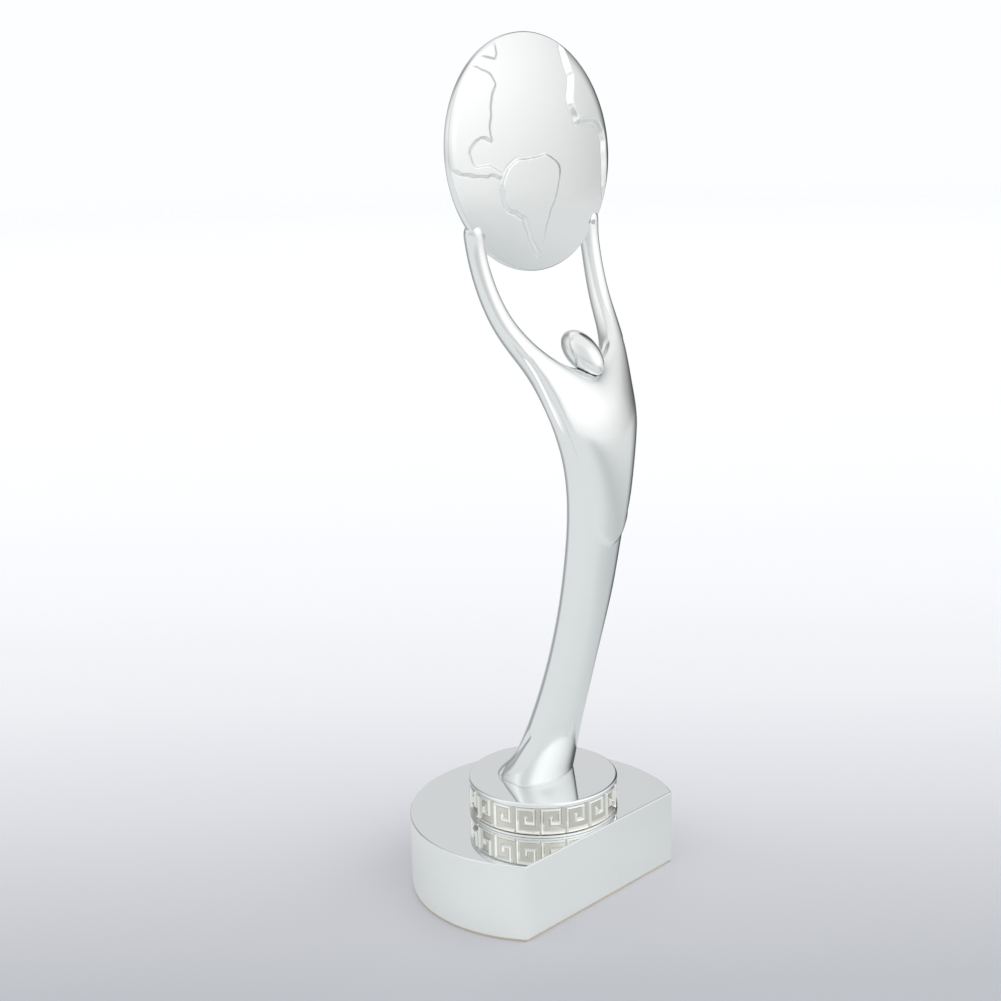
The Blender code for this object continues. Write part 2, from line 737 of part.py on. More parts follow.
hole(
    "foot_dowel_hole",
    DOWEL_RADIUS + GAP,
    foot_dowel_at,
    foot_dowel_bottom - GAP,
    foot_dowel_bottom + DOWEL_LENGTH + GAP,
    [figure_body, collar_top_plate, collar_drum],
)
hole(
    "collar_dowel_hole",
    DOWEL_RADIUS + GAP,
    collar_dowel_at,
    collar_dowel_bottom - GAP,
    collar_dowel_bottom + DOWEL_LENGTH + GAP,
    [base_shell, collar_drum],
)

# A blind pin from the back holds each hand to the rim
pin_reach = DISC_RADIUS - HAND_PIN_MARGIN
pin_across = HALF_WIDTH - HAND_PIN_INWARD
pin_down = math.sqrt(pin_reach**2 - pin_across**2)
pin_start = -DISC_RIM / 2 - HAND_PIN_BITE
hand_pin_length = DISC_RIM + 1.5 * HAND_PIN_BITE
disc_place = Matrix.Translation(DISC_CENTRE) @ Matrix.Rotation(DISC_TURN[0], 4, "X")
for side_name, side in (("left", -1), ("right", 1)):
    pin_name = "hand_pin_" + side_name
    hole_name = "hand_pin_hole_" + side_name
    pin = piece(pin_name, rod_mesh(pin_name, PIN_RADIUS, hand_pin_length, PIN_STEPS), ZINC_STEEL)
    drilling = rod_mesh(hole_name, PIN_RADIUS + GAP, hand_pin_length + HAND_PIN_INLET + GAP, PIN_STEPS)
    pin_hole = cutter(hole_name, drilling)
    pin.matrix_world = disc_place @ Matrix.Translation((side * pin_across, -pin_down, pin_start))
    inlet = pin_start - HAND_PIN_INLET
    pin_hole.matrix_world = disc_place @ Matrix.Translation((side * pin_across, -pin_down, inlet))
    combine(figure_body, pin_hole)
    combine(disc_front, pin_hole)
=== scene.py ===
# %% [markdown]
# # A silver figure trophy
#
# The object is an award about 278 mm tall: a slender cast figure holds a globe disc over its head and
# stands on a round collar with a Greek-key band, on a D-shaped base. Everything on it is plated metal, so
# there is little colour to paint. The lesson is about two things instead: smooth, exact surfaces, and a
# studio whose light and dark patches those surfaces can mirror.

# %% Load the fixed frame
import math

import bmesh
import bpy
import numpy as np
from mathutils import Matrix, Vector, noise


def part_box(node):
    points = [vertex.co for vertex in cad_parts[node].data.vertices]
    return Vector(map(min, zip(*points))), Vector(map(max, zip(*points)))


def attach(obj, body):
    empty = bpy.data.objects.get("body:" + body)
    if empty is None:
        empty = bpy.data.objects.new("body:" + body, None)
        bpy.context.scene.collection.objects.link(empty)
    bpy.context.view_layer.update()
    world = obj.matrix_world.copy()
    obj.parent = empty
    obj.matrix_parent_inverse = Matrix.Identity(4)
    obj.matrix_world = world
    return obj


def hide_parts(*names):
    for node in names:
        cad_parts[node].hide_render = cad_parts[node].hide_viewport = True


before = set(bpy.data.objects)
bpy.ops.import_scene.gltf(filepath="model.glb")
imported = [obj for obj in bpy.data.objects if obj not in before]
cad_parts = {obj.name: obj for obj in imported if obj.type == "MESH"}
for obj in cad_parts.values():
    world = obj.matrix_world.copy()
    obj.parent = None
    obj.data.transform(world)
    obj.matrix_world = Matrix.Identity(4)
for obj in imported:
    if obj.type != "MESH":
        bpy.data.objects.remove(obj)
bpy.context.view_layer.update()
MM = 0.001

# %% [markdown]
# ## The camera
#
# A product shot is taken from a little above, with a long lens, so that upright lines stay nearly
# parallel. The trophy is turned so that the flat of its base runs away to the right. The camera stands
# a little over half a metre off, and its place and turn are given in plain numbers, because a camera
# that "tracks" the object would shift when a piece grows.

# %% Camera
CAMERA_AT = Vector((-0.3860, -0.3564, 0.2716))
CAMERA_HEADING = math.radians(45.985)  # clockwise from +Y
CAMERA_DIP = math.radians(14.797)
CAMERA_ROLL = math.radians(-1.443)


def compass(heading, elevation=0.0):
    """A unit vector from a heading clockwise from +Y and an elevation, in radians."""
    level = math.cos(elevation)
    return Vector((math.sin(heading) * level, math.cos(heading) * level, math.sin(elevation)))


def add_camera():
    looking = compass(CAMERA_HEADING, -CAMERA_DIP)
    level_right = Vector((math.cos(CAMERA_HEADING), -math.sin(CAMERA_HEADING), 0))
    level_up = level_right.cross(looking)
    right = math.cos(CAMERA_ROLL) * level_right + math.sin(CAMERA_ROLL) * level_up
    up = right.cross(looking)
    data = bpy.data.cameras.new("studio_camera")
    data.lens = 60.8
    data.sensor_width = 36
    data.clip_start = 0.01
    camera = bpy.data.objects.new("studio_camera", data)
    bpy.context.scene.collection.objects.link(camera)
    turn = Matrix((right, up, -looking)).transposed()
    camera.matrix_world = Matrix.Translation(CAMERA_AT) @ turn.to_4x4()
    bpy.context.scene.camera = camera
    return camera


camera = add_camera()
bpy.context.scene.view_settings.view_transform = "Standard"
print("camera", round(CAMERA_AT.length, 3), "m from the middle of the base")

# %% [markdown]
# ## Small helpers
#
# Most pieces here are turned, extruded or swept, and are then smoothed. A handful of helpers keeps those
# steps short: one puts a mesh on the table and rides it on the part's body, one turns a profile, and one
# adds a node to a material and joins its sockets up.

# %% Helpers for pieces
VISUAL = bpy.data.collections.new("visual")
bpy.context.scene.collection.children.link(VISUAL)


def mesh_from(name, build):
    """A mesh from a function that fills a bmesh."""
    shape = bmesh.new()
    build(shape)
    bmesh.ops.recalc_face_normals(shape, faces=shape.faces)
    mesh = bpy.data.meshes.new(name)
    shape.to_mesh(mesh)
    shape.free()
    return mesh


def add_piece(name, mesh, finish, slot, *stands_for):
    """A new visible piece that stands for CAD nodes and rides on the trophy's one body."""
    made = bpy.data.objects.new(name, mesh)
    mesh.materials.clear()
    mesh.materials.append(finish)
    VISUAL.objects.link(made)
    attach(made, "root")
    if stands_for:
        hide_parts(*stands_for)
    print(f"{name}: {len(mesh.polygons)} faces in the cage")
    return made


def shade_smooth(mesh, sharp_from=35):
    mesh.shade_smooth()
    mesh.set_sharp_from_angle(angle=math.radians(sharp_from))


def add_bevel(made, width, segments=3, angle=30):
    modifier = made.modifiers.new("soft edges", "BEVEL")
    modifier.width = width
    modifier.segments = segments
    modifier.limit_method = "ANGLE"
    modifier.angle_limit = math.radians(angle)
    modifier.harden_normals = True
    return modifier


def add_smoothing(made, levels):
    modifier = made.modifiers.new("smooth", "SUBSURF")
    modifier.levels = levels
    modifier.render_levels = levels
    return modifier


# %% Helpers for relief
def smooth_share(value):
    """Eases 0..1, and clips what lies outside."""
    held = np.clip(value, 0, 1)
    return held * held * (3 - 2 * held)


def distance_inside(points, outline):
    """Distance of each point from the outline, positive inside it."""
    start, end = outline, np.roll(outline, -1, 0)
    nearest = np.full(len(points), 1e9)
    inside = np.zeros(len(points), bool)
    for (ax, ay), (bx, by) in zip(start, end):
        run = np.array([bx - ax, by - ay])
        offset = points - (ax, ay)
        share = np.clip(offset @ run / max(run @ run, 1e-12), 0, 1)
        nearest = np.minimum(nearest, np.linalg.norm(offset - share[:, None] * run, axis=1))
        if ay != by:
            crosses = (points[:, 1] < ay) != (points[:, 1] < by)
            reach = ax + (points[:, 1] - ay) * (bx - ax) / (by - ay)
            inside ^= crosses & (points[:, 0] < reach)
    return np.where(inside, nearest, -nearest)


# %% Helpers for node materials
def new_finish(name):
    """A material with its nodes cleared to a Principled shader and an output."""
    made = bpy.data.materials.new(name)
    made.use_nodes = True
    nodes = made.node_tree.nodes
    nodes.clear()
    shader = nodes.new("ShaderNodeBsdfPrincipled")
    output = nodes.new("ShaderNodeOutputMaterial")
    made.node_tree.links.new(shader.outputs["BSDF"], output.inputs["Surface"])
    return made, shader


def add_node(tree, kind, inputs=None, **settings):
    """A node with its settings made and its inputs set or linked."""
    node = tree.nodes.new(kind)
    for key, value in settings.items():
        setattr(node, key, value)
    for key, value in (inputs or {}).items():
        if isinstance(value, bpy.types.NodeSocket):
            tree.links.new(value, node.inputs[key])
        else:
            node.inputs[key].default_value = value
    return node


# %% [markdown]
# ## The studio
#
# Polished metal has hardly any look of its own: it shows the room. A silver trophy is shot in a white
# tent, and what gives it shape are the places where the white stops: a dark gap beside the backdrop draws
# dark lines along its edges, and the brightest stretch of wall, off to the right, gives the white sheen on
# its chest. The tent is a ring of wall tones by heading, dimmer at the horizon, that blends into an even
# ceiling. The camera itself sees a plain white backdrop.

# %% Light tent
# heading to the right of the camera's line of sight (degrees) and the wall's brightness there
WALL_TONES = [
    (-180, 0.80), (-150, 0.76), (-130, 0.84), (-105, 1.05), (-88, 0.86), (-72, 0.66), (-58, 0.40),
    (-40, 0.34), (-26, 0.60), (-8, 0.69), (8, 0.67), (15, 0.32), (20, 0.08), (36, 0.08), (46, 0.45),
    (58, 0.76), (78, 0.98), (100, 1.12), (125, 1.20), (148, 1.14), (165, 0.94), (180, 0.82),
]
CEILING_TONE = 0.92
CEILING_FROM = math.radians(48)
CEILING_TO = math.radians(70)
HORIZON_DIMMING = 0.80  # walls are dimmer where they meet the floor
HORIZON_FROM = math.radians(-4)
HORIZON_TO = math.radians(22)
SHEET_BOOST = 1.12  # extra light that only matt surfaces take, so that the sheet stays white
BACKDROP = (0.98, 0.99, 1, 1)


def add_ramp(tree, share, stops):
    """A colour ramp through (position, grey or colour) stops."""
    ramp = add_node(tree, "ShaderNodeValToRGB", {"Fac": share})
    elements = ramp.color_ramp.elements
    while len(elements) < len(stops):
        elements.new(0.5)
    for element, (position, tone) in zip(elements, stops):
        element.position = position
        element.color = (*tone, 1) if isinstance(tone, tuple) else (tone, tone, tone, 1)
    return ramp.outputs["Color"]


def distance_along(tree, place, axis):
    return add_node(
        tree, "ShaderNodeVectorMath", {0: place, 1: axis}, operation="DOT_PRODUCT"
    ).outputs["Value"]


def tones_by_heading(tree, place, tones):
    """A ramp of tones round the upright axis, by heading from the camera's line of sight."""
    ahead = distance_along(tree, place, compass(CAMERA_HEADING))
    rightward = distance_along(tree, place, compass(CAMERA_HEADING + math.pi / 2))
    heading = add_node(tree, "ShaderNodeMath", {0: rightward, 1: ahead}, operation="ARCTAN2")
    share = add_node(
        tree,
        "ShaderNodeMapRange",
        {"Value": heading.outputs["Value"], "From Min": -math.pi, "From Max": math.pi},
    ).outputs["Result"]
    return add_ramp(tree, share, [((degrees + 180) / 360, tone) for degrees, tone in tones])


def build_tent():
    world = bpy.data.worlds.new("light_tent")
    world.use_nodes = True
    bpy.context.scene.world = world
    tree = world.node_tree
    tree.nodes.clear()
    direction = add_node(tree, "ShaderNodeTexCoord").outputs["Generated"]
    walls = tones_by_heading(tree, direction, WALL_TONES)
    height = distance_along(tree, direction, (0, 0, 1))

    def eased(start, end, low, high):
        limits = {"From Min": math.sin(start), "From Max": math.sin(end), "To Min": low, "To Max": high}
        return add_node(
            tree, "ShaderNodeMapRange", {"Value": height, **limits}, interpolation_type="SMOOTHSTEP"
        ).outputs["Result"]

    dimmed = eased(HORIZON_FROM, HORIZON_TO, HORIZON_DIMMING, 1)
    walls = add_node(tree, "ShaderNodeVectorMath", {0: walls, "Scale": dimmed}, operation="SCALE").outputs[0]
    raised = eased(CEILING_FROM, CEILING_TO, 0, 1)
    light = add_node(
        tree, "ShaderNodeMix", {0: raised, 6: walls, 7: (CEILING_TONE,) * 3 + (1,)}, data_type="RGBA"
    ).outputs[2]
    path = add_node(tree, "ShaderNodeLightPath").outputs
    shown = add_node(
        tree, "ShaderNodeMix", {0: path["Is Camera Ray"], 6: light, 7: BACKDROP}, data_type="RGBA"
    ).outputs[2]
    strength = add_node(
        tree, "ShaderNodeMapRange", {"Value": path["Is Diffuse Ray"], "To Min": 1, "To Max": SHEET_BOOST}
    ).outputs["Result"]
    background = add_node(tree, "ShaderNodeBackground", {"Color": shown, "Strength": strength})
    output = add_node(tree, "ShaderNodeOutputWorld")
    tree.links.new(background.outputs["Background"], output.inputs["Surface"])
    return world


build_tent()
print("tent walls of", len(WALL_TONES), "tones")

# %% [markdown]
# ## The floor
#
# The trophy stands on a pale sheet that falls off from white at the back to a cool grey in front, as a
# sheet does when its light hangs over the far end. That fall of light is painted into the sheet's colour,
# which follows the distance along the line of sight; the sheet is a disc that fades away at its rim, so
# that no horizon line shows. The metal mirrors the sheet in painted light and shade of its own, tones
# which a studio would get with grey cards out of the camera's view.

# %% Floor
FLOOR_RADIUS = 3.2
FLOOR_LIGHT = 0.86  # how bright a white sheet looks in this tent
# distance behind the trophy along the line of sight (m) and the painted light: how bright the sheet looks
# there
FLOOR_TONES = [
    (-0.60, (0.40, 0.42, 0.45)),
    (-0.07, (0.521, 0.539, 0.571)),
    (-0.017, (0.610, 0.617, 0.651)),
    (0.061, (0.730, 0.737, 0.776)),
    (0.164, (0.847, 0.855, 0.888)),
    (0.303, (0.913, 0.921, 0.956)),
    (0.503, (0.956, 0.965, 0.990)),
    (0.820, (0.980, 0.990, 0.998)),
]
# the same sheet as the metal mirrors it: painted even light near the trophy, and painted shade far behind it
MIRRORED_HEADING = math.radians(50)  # to the right of the line of sight
FLOOR_MIRRORED = [
    (-0.60, (0.77, 0.79, 0.80)),
    (-0.07, (0.75, 0.77, 0.78)),
    (0.04, (0.72, 0.74, 0.75)),
    (0.12, (0.62, 0.645, 0.65)),
    (0.24, (0.53, 0.555, 0.56)),
    (0.34, (0.57, 0.60, 0.595)),
    (0.60, (0.67, 0.69, 0.69)),
    (0.82, (0.74, 0.75, 0.75)),
]
# past the sheet's sides the metal mirrors painted shade on the floor, which draws its thin outlines:
# heading to the right of the line of sight (degrees) and the share of the sheet's light left there
SHEET_SIDES = [
    (-180, 1.0), (-80, 1.0), (-66, 0.50), (-40, 0.45), (-28, 0.9), (6, 1.0), (14, 0.45), (20, 0.12),
    (34, 0.12), (44, 0.6), (56, 1.0), (180, 1.0),
]
SHEET_EDGE_FROM = 0.12  # metres from the trophy
SHEET_EDGE_TO = 0.26


def build_floor():
    def disc(shape):
        bmesh.ops.create_circle(shape, cap_ends=True, radius=FLOOR_RADIUS, segments=96)

    floor = bpy.data.objects.new("studio_floor", mesh_from("studio_floor", disc))
    bpy.context.scene.collection.objects.link(floor)
    finish, shader = new_finish("studio_sheet")
    tree = finish.node_tree
    place = add_node(tree, "ShaderNodeTexCoord").outputs["Object"]
    first, last = FLOOR_TONES[0][0], FLOOR_TONES[-1][0]
    ramps = []
    # both ramps paint light and shade into the sheet's colour: tones that the metal mirrors, and a fall of
    # light that the camera sees
    for tones, turn in ((FLOOR_MIRRORED, MIRRORED_HEADING), (FLOOR_TONES, 0)):
        along = distance_along(tree, place, compass(CAMERA_HEADING + turn))
        share = add_node(
            tree, "ShaderNodeMapRange", {"Value": along, "From Min": first, "From Max": last}
        ).outputs["Result"]
        stops = [
            ((distance - first) / (last - first), tuple(part / FLOOR_LIGHT for part in tone))
            for distance, tone in tones
        ]
        ramps.append(add_ramp(tree, share, stops))
    out_from_middle = add_node(
        tree, "ShaderNodeVectorMath", {0: place}, operation="LENGTH"
    ).outputs["Value"]
    # painted shade past the sheet's sides, in the colour that the metal mirrors
    sides = tones_by_heading(tree, place, SHEET_SIDES)
    past_edge = add_node(
        tree,
        "ShaderNodeMapRange",
        {"Value": out_from_middle, "From Min": SHEET_EDGE_FROM, "From Max": SHEET_EDGE_TO},
        interpolation_type="SMOOTHSTEP",
    ).outputs["Result"]
    mirrored = add_node(
        tree, "ShaderNodeMix", {0: past_edge, 6: ramps[0], 7: sides}, data_type="RGBA", blend_type="MULTIPLY"
    ).outputs[2]
    seen = add_node(tree, "ShaderNodeLightPath").outputs["Is Camera Ray"]
    shown = add_node(tree, "ShaderNodeMix", {0: seen, 6: mirrored, 7: ramps[1]}, data_type="RGBA").outputs[2]
    tree.links.new(shown, shader.inputs["Base Color"])
    shader.inputs["Roughness"].default_value = 0.9
    shader.inputs["Specular IOR Level"].default_value = 0.0
    fading = {"From Min": FLOOR_RADIUS * 0.5, "From Max": FLOOR_RADIUS, "To Min": 1, "To Max": 0}
    kept = add_node(
        tree, "ShaderNodeMapRange", {"Value": out_from_middle, **fading}, interpolation_type="SMOOTHSTEP"
    ).outputs["Result"]
    tree.links.new(kept, shader.inputs["Alpha"])
    floor.data.materials.append(finish)
    return floor


floor = build_floor()

# %% [markdown]
# ## Finishes
#
# Three silvers cover almost everything. The satin plate on the figure, the disc and the base's sides is
# polished and then matted by a fine mist of blasting, so it mirrors only broad lights. The bright plate on
# the collar's top and the base's top is a near mirror. The band is bright too, and its colour is darker
# in its hollows. Each takes its roughness from layered noise, because a polished casting is never evenly
# polished, and a very weak bump gives the ripple of hand buffing.

# %% Silver finishes
def silver(name, colour, roughness, spread, ripple, ripple_scale):
    """A plated silver: colour, mean roughness and how far it wanders, and buffing ripple."""
    finish, shader = new_finish(name)
    tree = finish.node_tree
    place = add_node(tree, "ShaderNodeTexCoord").outputs["Object"]
    clouds = add_node(
        tree, "ShaderNodeTexNoise", {"Vector": place, "Scale": 45, "Detail": 4, "Roughness": 0.6}
    ).outputs["Fac"]
    mist = add_node(
        tree, "ShaderNodeTexNoise", {"Vector": place, "Scale": 2600, "Detail": 2, "Roughness": 0.5}
    ).outputs["Fac"]
    mixed = add_node(tree, "ShaderNodeMix", {0: 0.35, 2: clouds, 3: mist}, data_type="FLOAT").outputs[0]
    rough = add_node(
        tree,
        "ShaderNodeMapRange",
        {
            "Value": mixed,
            "From Min": 0.3,
            "From Max": 0.7,
            "To Min": roughness - spread,
            "To Max": roughness + spread,
        },
    ).outputs["Result"]
    tree.links.new(rough, shader.inputs["Roughness"])
    darker = tuple(0.965 * part for part in colour)
    tint = add_node(
        tree,
        "ShaderNodeMix",
        {0: clouds, 6: (*colour, 1), 7: (*darker, 1)},
        data_type="RGBA",
    ).outputs[2]
    tree.links.new(tint, shader.inputs["Base Color"])
    buffing = add_node(
        tree, "ShaderNodeTexNoise", {"Vector": place, "Scale": ripple_scale, "Detail": 3, "Roughness": 0.5}
    ).outputs["Fac"]
    bump = add_node(
        tree, "ShaderNodeBump", {"Strength": 0.2, "Distance": ripple, "Height": buffing}
    ).outputs["Normal"]
    tree.links.new(bump, shader.inputs["Normal"])
    shader.inputs["Metallic"].default_value = 1.0
    return finish


SATIN = silver("satin_silver_plate", (0.925, 0.94, 0.94), 0.18, 0.03, 0.00008, 60)
BRIGHT = silver("bright_silver_plate", (0.93, 0.955, 0.965), 0.06, 0.015, 0.00003, 35)
RELIEF = silver("bright_relief_plate", (0.95, 0.945, 0.91), 0.10, 0.03, 0.00010, 500)

# %% Other finishes
def plain_metal(name, colour, roughness, spots, spot_colour):
    """A workshop metal for the hidden fastenings: mottled, with darker spots."""
    finish, shader = new_finish(name)
    tree = finish.node_tree
    place = add_node(tree, "ShaderNodeTexCoord").outputs["Object"]
    mottle = add_node(
        tree, "ShaderNodeTexNoise", {"Vector": place, "Scale": spots, "Detail": 5, "Roughness": 0.65}
    ).outputs["Fac"]
    share = add_node(
        tree, "ShaderNodeMapRange", {"Value": mottle, "From Min": 0.4, "From Max": 0.75}
    ).outputs["Result"]
    mixed = add_node(
        tree, "ShaderNodeMix", {0: share, 6: (*colour, 1), 7: (*spot_colour, 1)}, data_type="RGBA"
    ).outputs[2]
    tree.links.new(mixed, shader.inputs["Base Color"])
    rough = add_node(
        tree,
        "ShaderNodeMapRange",
        {"Value": mottle, "To Min": roughness - 0.08, "To Max": roughness + 0.12},
    ).outputs["Result"]
    tree.links.new(rough, shader.inputs["Roughness"])
    grain = add_node(
        tree, "ShaderNodeTexNoise", {"Vector": place, "Scale": 3000, "Detail": 3}
    ).outputs["Fac"]
    bump = add_node(tree, "ShaderNodeBump", {"Strength": 0.3, "Distance": 0.00005, "Height": grain})
    tree.links.new(bump.outputs["Normal"], shader.inputs["Normal"])
    shader.inputs["Metallic"].default_value = 1.0
    return finish


def felt_finish():
    """Short matted wool: speckled colour, a rough nap and a soft sheen."""
    finish, shader = new_finish("beige_felt")
    tree = finish.node_tree
    place = add_node(tree, "ShaderNodeTexCoord").outputs["Object"]
    tufts = add_node(
        tree, "ShaderNodeTexNoise", {"Vector": place, "Scale": 2200, "Detail": 6, "Roughness": 0.75}
    ).outputs["Fac"]
    share = add_node(
        tree, "ShaderNodeMapRange", {"Value": tufts, "From Min": 0.3, "From Max": 0.7}
    ).outputs["Result"]
    wool = add_node(
        tree,
        "ShaderNodeMix",
        {0: share, 6: (0.52, 0.42, 0.32, 1), 7: (0.78, 0.68, 0.55, 1)},
        data_type="RGBA",
    ).outputs[2]
    tree.links.new(wool, shader.inputs["Base Color"])
    nap = add_node(tree, "ShaderNodeBump", {"Strength": 0.8, "Distance": 0.0002, "Height": tufts})
    tree.links.new(nap.outputs["Normal"], shader.inputs["Normal"])
    shader.inputs["Roughness"].default_value = 0.95
    shader.inputs["Sheen Weight"].default_value = 0.3
    return finish


ZINC = plain_metal("zinc_plated_steel", (0.62, 0.63, 0.64), 0.35, 900, (0.50, 0.50, 0.47))
IRON = plain_metal("raw_iron", (0.17, 0.16, 0.15), 0.6, 180, (0.26, 0.13, 0.07))
FELT = felt_finish()
STEEL_NODES = (
    "clamp_washer", "collar_dowel", "foot_dowel", "hand_pin_left", "hand_pin_right",
    "head_pin", "hex_nut", "mounting_stud", "spring_washer",
)
kept_nodes = [("ballast_plate", IRON, "raw_iron")]
kept_nodes += [(node_name, ZINC, "zinc_plated_steel") for node_name in STEEL_NODES]
for node_name, finish, slot in kept_nodes:
    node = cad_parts[node_name]
    node.data.materials.clear()
    node.data.materials.append(finish)
print("finishes:", len(bpy.data.materials))

# %% [markdown]
# ## The base
#
# The base is a D: a round block with its front planed flat. A trophy maker casts it as a shell with a
# pocket underneath for an iron weight, turns the round side, mills the front, and polishes the top. The
# outline is drawn once and extruded. The corners where the flat meets the round stay crisp, so only a
# hair-thin bevel catches the light there.

# %% Base
base_low, base_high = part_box("base_shell")
base_low.z = 0.6 * MM  # the wall's foot hides part of the felt's edge
BASE_RADIUS = base_high.x
BASE_FLAT = -base_low.y
BASE_TOP = base_high.z
BASE_WALL = 3 * MM
BASE_ROOF = 4 * MM
BASE_BEVEL = 0.5 * MM
BASE_STEPS = 160
FELT_INSET = 0.3 * MM


def d_outline(inset):
    """A circle cut by the flat front, all drawn in by the inset."""
    radius = BASE_RADIUS - inset
    flat = BASE_FLAT - inset
    corner = math.acos(flat / radius)
    span = 2 * (math.pi - corner)
    angles = [-math.pi / 2 + corner + span * step / BASE_STEPS for step in range(BASE_STEPS + 1)]
    return [(radius * math.cos(angle), radius * math.sin(angle)) for angle in angles]


def ring_of(shape, outline, height):
    return [shape.verts.new((x, y, height)) for x, y in outline]


def bridge(shape, lower, upper):
    """Quads between two rings that hold the same number of points."""
    count = len(lower)
    for step in range(count):
        after = (step + 1) % count
        shape.faces.new((lower[step], lower[after], upper[after], upper[step]))


def hollow_base(shape):
    """The cast shell: walls, top and a pocket that is open below."""
    outer_low = ring_of(shape, d_outline(0), base_low.z)
    outer_high = ring_of(shape, d_outline(0), BASE_TOP)
    inner_low = ring_of(shape, d_outline(BASE_WALL), base_low.z)
    inner_high = ring_of(shape, d_outline(BASE_WALL), BASE_TOP - BASE_ROOF)
    bridge(shape, outer_low, outer_high)
    bridge(shape, inner_high, inner_low)
    bridge(shape, inner_low, outer_low)
    shape.faces.new(outer_high)
    shape.faces.new(list(reversed(inner_high)))


base_mesh = mesh_from("base", hollow_base)
shade_smooth(base_mesh)
base = add_piece("base", base_mesh, SATIN, "satin_silver", "base_shell")
base.data.materials.append(BRIGHT)
for face in base.data.polygons:
    if face.normal.z > 0.9 and face.center.z > BASE_TOP - MM:
        face.material_index = 1
add_bevel(base, BASE_BEVEL, 4)


def felt_shape(shape):
    low = ring_of(shape, d_outline(FELT_INSET), 0)
    high = ring_of(shape, d_outline(FELT_INSET), base_low.z)
    bridge(shape, low, high)
    shape.faces.new(high)
    shape.faces.new(list(reversed(low)))


felt = add_piece("felt", mesh_from("felt", felt_shape), FELT, "beige_felt", "felt_pad")
add_bevel(felt, 0.25 * MM, 2)

# %% [markdown]
# ## The collar
#
# The collar is three round pieces: a drum with a small bead round its foot, the key band that slips over
# the drum, and a polished plate on top whose rim is rounded like a coin's. Turned pieces come from one
# profile spun about the axis. A fine step count keeps the rim's highlight a clean line.

# %% Turned pieces of the collar
TURN_STEPS = 192
BORE_RADIUS = 3.3 * MM  # clears the rod through the middle


def arc(centre, radius, start, end, steps):
    """Points of a round corner, angles in degrees from the outward direction, anticlockwise."""
    points = []
    for step in range(steps + 1):
        angle = math.radians(start + (end - start) * step / steps)
        points.append((centre[0] + radius * math.cos(angle), centre[1] + radius * math.sin(angle)))
    return points


def turned_mesh(name, profile, closed=True, steps=TURN_STEPS):
    """A (radius, height) profile spun about the axis."""

    def build(shape):
        rings = []
        for radius, height in profile:
            if radius < 1e-7:
                rings.append([shape.verts.new((0, 0, height))])
                continue
            angles = [2 * math.pi * step / steps for step in range(steps)]
            rings.append([
                shape.verts.new((radius * math.cos(angle), radius * math.sin(angle), height))
                for angle in angles
            ])
        pairs = list(zip(rings, rings[1:]))
        if closed:
            pairs.append((rings[-1], rings[0]))
        for first, second in pairs:
            if len(first) == 1 and len(second) == 1:
                continue
            for step in range(steps):
                after = (step + 1) % steps
                if len(first) == 1:
                    shape.faces.new((first[0], second[after], second[step]))
                elif len(second) == 1:
                    shape.faces.new((first[step], first[after], second[0]))
                else:
                    shape.faces.new((first[step], first[after], second[after], second[step]))

    mesh = mesh_from(name, build)
    shade_smooth(mesh)
    return mesh


plate_low, plate_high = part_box("collar_top_plate")
band_low, band_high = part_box("fret_band")
drum_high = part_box("collar_drum")[1]
COLLAR_TOP = plate_high.z
PLATE_RADIUS = plate_high.x
plate_half = (plate_high.z - plate_low.z) / 2
rim_centre = (PLATE_RADIUS - plate_half, plate_high.z - plate_half)
plate_profile = arc(rim_centre, plate_half, 90, -90, 20)
plate_profile += [(BORE_RADIUS, plate_low.z), (BORE_RADIUS, plate_high.z)]
add_piece(
    "collar_plate", turned_mesh("collar_plate", plate_profile), BRIGHT, "bright_silver", "collar_top_plate"
)

BAND_RADIUS = band_high.x
FLANGE_RADIUS = drum_high.x
flange_top = band_low.z - 0.45 * MM  # the band hides the upper half of the flange
flange_low = BASE_TOP + 0.02 * MM
flange_half = (flange_top - flange_low) / 2
bead_centre = (FLANGE_RADIUS - flange_half, flange_low + flange_half)
drum_radius = BAND_RADIUS - 2.5 * MM
drum_top = band_high.z + 0.2 * MM
drum_profile = [(drum_radius, drum_top), (drum_radius, flange_top)]
drum_profile += arc(bead_centre, flange_half, 90, -90, 14)
drum_profile += [(BORE_RADIUS, flange_low), (BORE_RADIUS, drum_top)]
drum_mesh = turned_mesh("collar_bead", drum_profile)
add_piece("collar_bead", drum_mesh, SATIN, "satin_silver", "collar_drum")

# %% [markdown]
# ## The Greek-key band
#
# The key is cast into a strip that is then rolled into a ring, so its strokes are raised, with soft
# shoulders where the mould drew off and bright crowns. The pattern is written down as the strokes of
# one key, each a plain rectangle. The ring is a fine grid whose points are pushed outward wherever a
# stroke lies, and the push fades over a short shoulder.

# %% Key band
KEY_COUNT = 18
KEY_GRID = 6  # strokes and gaps across one key, and rows up it
# left, right, bottom and top of each stroke, in grid steps
KEY_STROKES = [
    (0, 6, 0, 0.9),
    (0, 0.9, 0, 6),
    (0, 5, 5.1, 6),
    (4.1, 5, 2, 6),
    (2.1, 5, 2, 2.9),
    (2.1, 3, 2, 4),
]
KEY_RELIEF = 0.95 * MM
KEY_SHOULDER = 0.62  # grid steps
KEY_OVERHANG = 0.2  # share of the shoulder that lies outside the stroke
# colour of the band's hollows, which are darker than its crowns
BAND_INSIDE = 2.4 * MM  # from the crowns in to the ring's bore
HOLLOW_COLOUR = (0.66, 0.66, 0.60, 1)
BAND_COLUMNS = 1536
BAND_ROWS = 60


def key_height(across, up):
    """How far the band stands proud, 0..1, over one key and its neighbours."""
    proud = np.zeros_like(across)
    for shift in (-KEY_GRID, 0, KEY_GRID):
        for left, right, bottom, top in KEY_STROKES:
            inside = np.minimum(
                np.minimum(across - left - shift, right + shift - across),
                np.minimum(up - bottom, top - up),
            )
            proud = np.maximum(proud, smooth_share(inside / KEY_SHOULDER + KEY_OVERHANG))
    return proud


